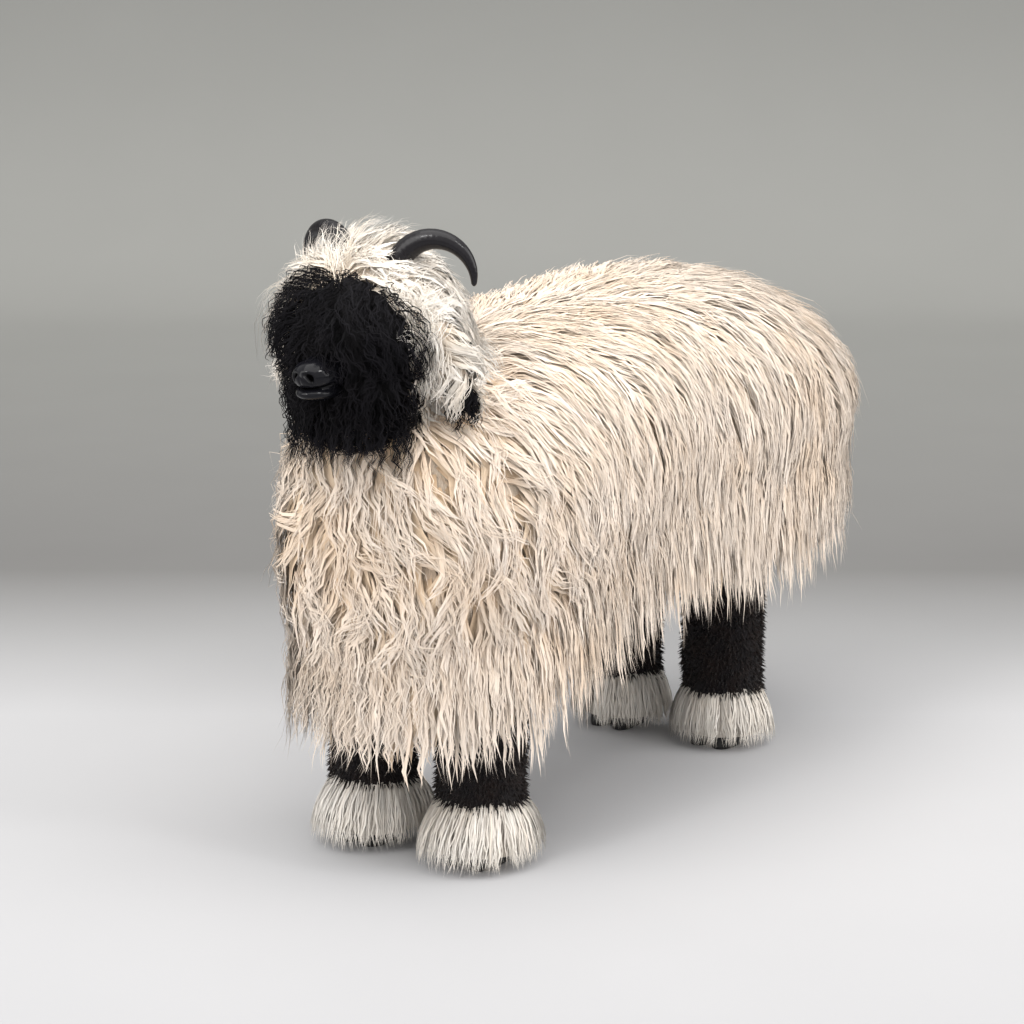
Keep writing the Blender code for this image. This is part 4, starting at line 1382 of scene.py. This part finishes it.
def growPile(name, skin, spot, s, tree, names):
    thing = bpy.data.objects.new(name, skin)
    bpy.context.scene.collection.objects.link(thing)
    modifier = thing.modifiers.new("Pile", "NODES")
    modifier.node_group = tree
    values = {
        "Density": s["density"], "Hair length": s["hairLength"], "Hair width": s["hairWidth"],
        "Seed": s["seed"], "Finish": pile,
    }
    for key, value in values.items():
        modifier[names[key]] = value
    mesh = evaluated(thing)
    points = pointsOf(mesh)
    hairs = len(points) // 4
    draw = np.random.default_rng(s["seed"])
    addNumber(mesh, "tone", np.repeat(draw.random(hairs), 4))
    patch = legPatch(spot, 2.8, 0.03)(points.reshape(hairs, 4, 3).mean(axis=1))
    corners = patchSize * np.array(((0, 0), (1, 0), (0, 1), (1, 1)))
    layPatches(mesh, patch[:, None] + corners[None])
    print(name, hairs, "hairs")
    return mesh


pileNodes, pileNames = pileTree()
for end, leg, spot in legSpots():
    legMesh = closedMesh(*legForm(end, spot, legSettings, legSizes["top"]))
    shown = closedMesh(*legForm(end, spot, legSettings, legSettings["pileTop"][end]))
    pileMesh = growPile(f"pile_{leg}", shown, spot, legSettings, pileNodes, pileNames)
    addNumber(legMesh, "tone", np.zeros(len(legMesh.vertices)))
    addPiece(f"legSkin_{leg}", legMesh, pile, (f"leg_{leg}",))
    addPiece(f"pile_{leg}", pileMesh, pile)
print("legs covered")


# fetlocks and hooves

fetlockSettings = {
    "halfWidth": 0.0700,
    "halfLength": {"front": 0.084, "rear": 0.064},
    "low": 0.004,
    "strands": 1300,
    "clumps": 44,
    "broad": 0.35,  # the share of strands that are wider by the next value
    "broader": 1.7,
    "start": (-0.12, 0.40),  # shares of the way down where strands begin and end
    "stop": (0.84, 1.0),
    "reach": (0.45, 1.16),
    "coreReach": 0.25,
    "drawnIn": 0.80,  # how far the tips close on their clump
    "points": 5,
    "width": 0.00062,
    "wave": 0.0030,
    "waveLength": 0.050,
    "seed": 301,
}


def domeSpot(end, spot, share, angle, reach, s):
    swell = reach * np.sin(share * np.pi / 2)
    root = legSizes["radius"] * 0.9
    halfX = root + (s["halfWidth"] - root) * swell
    halfY = root + (s["halfLength"][end] - root) * swell
    top = legSizes["cuff"] - 0.006
    z = top + (s["low"] - top) * share**1.4
    x, y = spot[0] + halfX * np.cos(angle), spot[1] + halfY * np.sin(angle)
    return np.stack((x, y, z + 0 * angle), axis=-1)


def fetlockStrands(end, spot, s, seed):
    draw = np.random.default_rng(seed)
    count = s["strands"]
    angle = draw.random(count) * 2 * np.pi
    spots = np.sort(draw.random(s["clumps"])) * 2 * np.pi
    clump = spots[abs(angle[:, None] - spots[None]).argmin(axis=1)]
    start = draw.uniform(*s["start"], count)
    stop = draw.uniform(*s["stop"], count)
    reach = draw.uniform(*s["reach"], count)
    t = np.linspace(0, 1, s["points"])[None, :]
    share = start[:, None] + (stop - start)[:, None] * t
    drawnIn = s["drawnIn"] * t**1.6 * draw.uniform(0.4, 1.0, count)[:, None]
    turned = angle[:, None] * (1 - drawnIn) + clump[:, None] * drawnIn
    turned = turned + draw.normal(0, 0.05, count)[:, None] * t
    place = domeSpot(end, spot, np.clip(share, 0.0, 1.0), turned, reach[:, None], s)
    place[..., 2] += np.where(share < 0, -share * 0.09, 0.0)
    out = unit(place - np.array((spot[0], spot[1], 0.02)))
    wave = s["wave"] * np.sin(t * 2 * np.pi * 0.09 / s["waveLength"] + draw.random(count)[:, None] * 6.3) * t
    sideways = np.stack((-np.sin(turned), np.cos(turned), 0 * turned), axis=-1)
    place = place + sideways * wave[..., None] - out * (0.003 * (1 - t))[..., None]
    place[..., 2] = np.maximum(place[..., 2], 0.0015)
    width = s["width"] * draw.uniform(0.7, 1.3, count)
    width = width * np.where(draw.random(count) < s["broad"], s["broader"], 1.0)
    tone = np.clip(draw.normal(0.6, 0.25, count), 0, 1)
    lean = np.sin((turned - clump[:, None]) * 7.0)[..., None]
    return place, out, width, tone, unit(out + sideways * lean * 0.6)


def fetlockCore(end, spot, s):
    angle = np.linspace(0, 2 * np.pi, 40, endpoint=False)
    rings = [domeSpot(end, spot, share, angle, s["coreReach"], s) for share in np.linspace(0, 0.86, 9)]
    return ringMesh(rings, (*spot, legSizes["cuff"] - 0.002), (*spot, rings[-1][0][2]))


toeSettings = {
    "apart": 0.0165,  # each toe from the leg's middle
    "halfLength": 0.036,
    # z, half width, share of the half length, shift along Y
    "rows": (
        (0.0, 0.0138, 0.90, -0.006),
        (0.0012, 0.0150, 1.00, -0.006),
        (0.012, 0.0158, 1.0, -0.005),
        (0.024, 0.0157, 0.92, -0.002),
        (0.036, 0.0150, 0.78, 0.002),
        (0.0417, 0.0135, 0.66, 0.003),
    ),
}


def toeForm(x, y, s):
    rings = []
    across, along = superRing(2.4, 32)
    for z, halfX, shareY, shift in smoothRows(s["rows"], 18):
        ring = (x + across * halfX, y + shift + along * shareY * s["halfLength"], np.full(32, max(z, 0.0)))
        rings.append(np.stack(ring, axis=1))
    bottom, top = s["rows"][0], s["rows"][-1]
    return ringMesh(rings, (x, y + bottom[3], bottom[0]), (x, y + top[3], top[0]))


for number, (end, leg, spot) in enumerate(legSpots()):
    core = closedMesh(*fetlockCore(end, spot, fetlockSettings))
    # the core takes the darker root end of the colour and a low tone: painted shade inside the fetlock
    addNumber(core, "along", np.full(len(core.vertices), 0.15))
    addNumber(core, "tone", np.full(len(core.vertices), 0.3))
    addPiece(f"fetlockCore_{leg}", core, fetlockWool, (f"fetlock_{leg}",))
    grown = fetlockStrands(end, spot, fetlockSettings, fetlockSettings["seed"] + number)
    addWool(f"fetlockWool_{leg}", grown, fetlockWool, "fetlock_wool", legPatch(spot, 8.0, 0.0))
    toes = [toeForm(spot[0] + side * toeSettings["apart"], spot[1], toeSettings) for side in (-1, 1)]
    toeMesh = closedMesh(*joined(toes))
    addPiece(f"toes_{leg}", toeMesh, hoofShell, (f"hoof_{leg}",))
print("feet dressed")


# horns


def hornForm(side, s, steps, count):
    out = np.array((side * math.cos(s["turn"]), math.sin(s["turn"]), 0.0))
    centre = np.array(mirrored(s["centre"], side))
    flat = np.cross(out, (0.0, 0.0, 1.0))
    x, y = superRing(2.0, count)
    rings = []
    for share in np.linspace(0, 1, steps):
        angle = s["start"] + (s["end"] - s["start"]) * share
        way = out * math.cos(angle) + np.array((0.0, 0.0, math.sin(angle)))
        radius = s["thick"] + (s["tip"] - s["thick"]) * share**2.2
        radius *= 1 + 0.010 * math.sin(share * 150) * (1 - share)
        ring = centre + way * s["sweep"] + np.outer(x * radius, way) + np.outer(y * radius, flat)
        rings.append(ring)
    endWay = out * math.sin(s["end"]) * -1 + np.array((0.0, 0.0, math.cos(s["end"])))
    for shrink in (0.80, 0.55):  # the rounded tip
        last = rings[-1]
        middle = last.mean(axis=0)
        rings.append(middle + (last - middle) * shrink - endWay * 0.0012)
    first, last = rings[0].mean(axis=0), rings[-1].mean(axis=0) - endWay * 0.0006
    return ringMesh(rings, first, last)


for side, word in ((1, "left"), (-1, "right")):
    steps, count = 72, 40
    hornMesh = closedMesh(*hornForm(side, hornSizes, steps, count))
    share = np.repeat(np.linspace(0, 1, steps + 2), count)
    addNumber(hornMesh, "along", np.concatenate((share, (0.0, 1.0))))
    addPiece(f"crescent_{word}", hornMesh, hornShine, (f"horn_{word}",))
print("horns set")


# moulded muzzle

muzzleSettings = {
    "voxel": 0.0009,
    "mouthHeight": -0.0138,
    "mouthWidth": 0.0013,
    "mouthDepth": 0.0036,
    "smile": 9.0,
    "creaseHeight": -0.006,
    "creaseWidth": 0.0011,
    "creaseLength": 0.006,
    "creaseDepth": 0.0010,
    "nostril": (0.0105, 0.0005),
    "nostrilLean": (0.82, 0.57),
    "nostrilBend": 55,
    "nostrilWidth": 0.0027,
    "nostrilLength": 0.0052,
    "nostrilDepth": 0.0095,
    "towards": (0.0, 0.012, -0.004),  # where the dents lead, from the muzzle's middle
    "darkFrom": 0.55,
}


def bell(distance, width):
    return np.exp(-((distance / width) ** 2))


def muzzleForm(s):
    parts = [ballMesh(*headSizes["muzzle"], 0.0, 64, 40), ballMesh(*headSizes["lip"], 0.0, 56, 32)]
    mesh = fuse(parts, s["voxel"], 8)
    points = pointsOf(mesh)
    centre = np.array(headSizes["muzzle"][0])
    d = points - centre
    front = np.clip((-d[:, 1] + 0.002) / 0.02, 0, 1)
    smile = s["mouthHeight"] + s["smile"] * d[:, 0] ** 2
    mouth = bell(d[:, 2] - smile, s["mouthWidth"]) * front
    crease = bell(d[:, 0], s["creaseWidth"]) * bell(d[:, 2] - s["creaseHeight"], s["creaseLength"]) * front
    cave = np.zeros(len(points))
    straight, cross = s["nostrilLean"]
    for side in (-1, 1):
        u, v = side * d[:, 0] - s["nostril"][0], d[:, 2] - s["nostril"][1]
        leanU, leanV = u * straight + v * cross, -u * cross + v * straight
        bent = leanU + s["nostrilBend"] * leanV**2
        cave = np.maximum(cave, bell(bent, s["nostrilWidth"]) * bell(leanV, s["nostrilLength"]) * front)
    inward = unit(centre + s["towards"] - points)
    dent = mouth * s["mouthDepth"] + cave * s["nostrilDepth"] + crease * s["creaseDepth"]
    setPoints(mesh, points + inward * dent[:, None])
    mesh.update()
    # the nostrils and the mouth line carry painted shade, the deepest faces a near black finish
    hollowShade = np.clip(cave * 1.6 + mouth * 0.9, 0, 1)
    addNumber(mesh, "hollowShade", hollowShade)
    dark = np.array([hollowShade[list(face.vertices)].min() > s["darkFrom"] for face in mesh.polygons])
    return mesh, dark.astype(np.int32)


muzzleMesh, shadedFaces = muzzleForm(muzzleSettings)
addPiece("moulding", muzzleMesh, moulded, ("muzzle",))
muzzleMesh.materials.append(hollowDark)
muzzleMesh.polygons.foreach_set("material_index", shadedFaces)
print("muzzle moulded")


# studio

studioSettings = {
    "floorAhead": 12.0,
    "floorBehind": 3.4,
    "curve": 1.3,
    "height": 4.5,
    "halfWidth": 12.0,
}


# the paper's bands are painted light and shade: darker near the camera, a pale pool round the figure, a dark
# band behind it, and darker high on the wall
paperLightAndShade = {
    "near": ((0.385, 0.385, 0.395), (0.405, 0.405, 0.415)),
    "pale": ((0.515, 0.515, 0.525), (0.54, 0.54, 0.55)),
    "middle": ((0.215, 0.212, 0.207), (0.235, 0.232, 0.227)),
    "grey": ((0.41, 0.41, 0.39), (0.43, 0.43, 0.41)),
    "upper": ((0.255, 0.255, 0.245), (0.270, 0.270, 0.260)),
}


def floorPaint():
    paint = Paint("studioPaperLightAndShade")
    depth = paint.node("ShaderNodeSeparateXYZ", {}, {"Vector": paint.place()}, 1)
    height = paint.node("ShaderNodeSeparateXYZ", {}, {"Vector": paint.place()}, 2)
    fine = paint.speckle(3.0, 2.0, 0.5)
    tones = {name: paint.blend(fine, rgb(*low), rgb(*high)) for name, (low, high) in paperLightAndShade.items()}
    # painted light and shade by depth across the floor and by height up the wall
    colour = paint.blend(paint.ramped(depth, -1.4, 0.2), tones["near"], tones["pale"])
    colour = paint.blend(paint.ramped(depth, 0.30, 1.10), colour, tones["middle"])
    colour = paint.blend(paint.ramped(depth, 1.2, 3.6), colour, tones["grey"])
    colour = paint.blend(paint.ramped(height, 0.1, 1.2), colour, tones["upper"])
    rough = paint.ramped(fine, 0.0, 1.0, 0.85, 0.95)
    return paint.finish(0.1, colour, rough)


def makeFloor(s):
    profile = [(-s["floorAhead"], 0.0), (s["floorBehind"], 0.0)]
    for step in range(1, 17):
        turn = math.pi / 2 * step / 16
        profile.append((s["floorBehind"] + s["curve"] * math.sin(turn), s["curve"] * (1 - math.cos(turn))))
    profile.append((s["floorBehind"] + s["curve"], s["height"]))
    points, faces = [], []
    for depth, z in profile:
        points += [(-s["halfWidth"], depth, z), (s["halfWidth"], depth, z)]
    for i in range(len(profile) - 1):
        faces.append((2 * i, 2 * i + 1, 2 * i + 3, 2 * i + 2))
    mesh = meshFrom("studioFloor", points, faces)
    mesh.materials.append(floorPaint())
    mesh.shade_smooth()
    floor = bpy.data.objects.new("studioFloor", mesh)
    bpy.context.scene.collection.objects.link(floor)
    floor.rotation_euler = (0.0, 0.0, math.radians(cameraSettings["azimuth"]))


lightSettings = {
    # azimuth, elevation, distance, size, power, colour
    "overheadBox": (20, 78, 2.8, 2.8, 50, (1.0, 0.99, 0.97)),
    "keyBox": (-15, 35, 3.4, 2.2, 44, (1.0, 0.985, 0.965)),
    "fillBox": (108, 25, 3.6, 2.6, 54, (1.0, 0.985, 0.975)),
    "glintRight": (72, 50, 2.6, 0.34, 9.0, (1.0, 0.99, 0.98)),
    "glintLeft": (2, 44, 2.6, 0.30, 7.0, (1.0, 0.99, 0.98)),
}
lightAim = (0.0, 0.0, 0.35)
airSettings = {"Color": (0.96, 0.955, 0.95, 1.0), "Strength": 0.95}


def softLight(name, azimuth, elevation, distance, size, power, colour):
    light = bpy.data.lights.new(name, "AREA")
    light.shape = "SQUARE"
    light.size = size
    light.energy = power
    light.color = colour
    aimed(name, light, lightAim, azimuth, elevation, distance)


makeFloor(studioSettings)
for name, values in lightSettings.items():
    softLight(name, *values)
world = bpy.data.worlds.new("studioAir")
world.use_nodes = True
for key, value in airSettings.items():
    world.node_tree.nodes["Background"].inputs[key].default_value = value
bpy.context.scene.world = world
bpy.context.scene.view_settings.view_transform = "Standard"
print("studio lit")
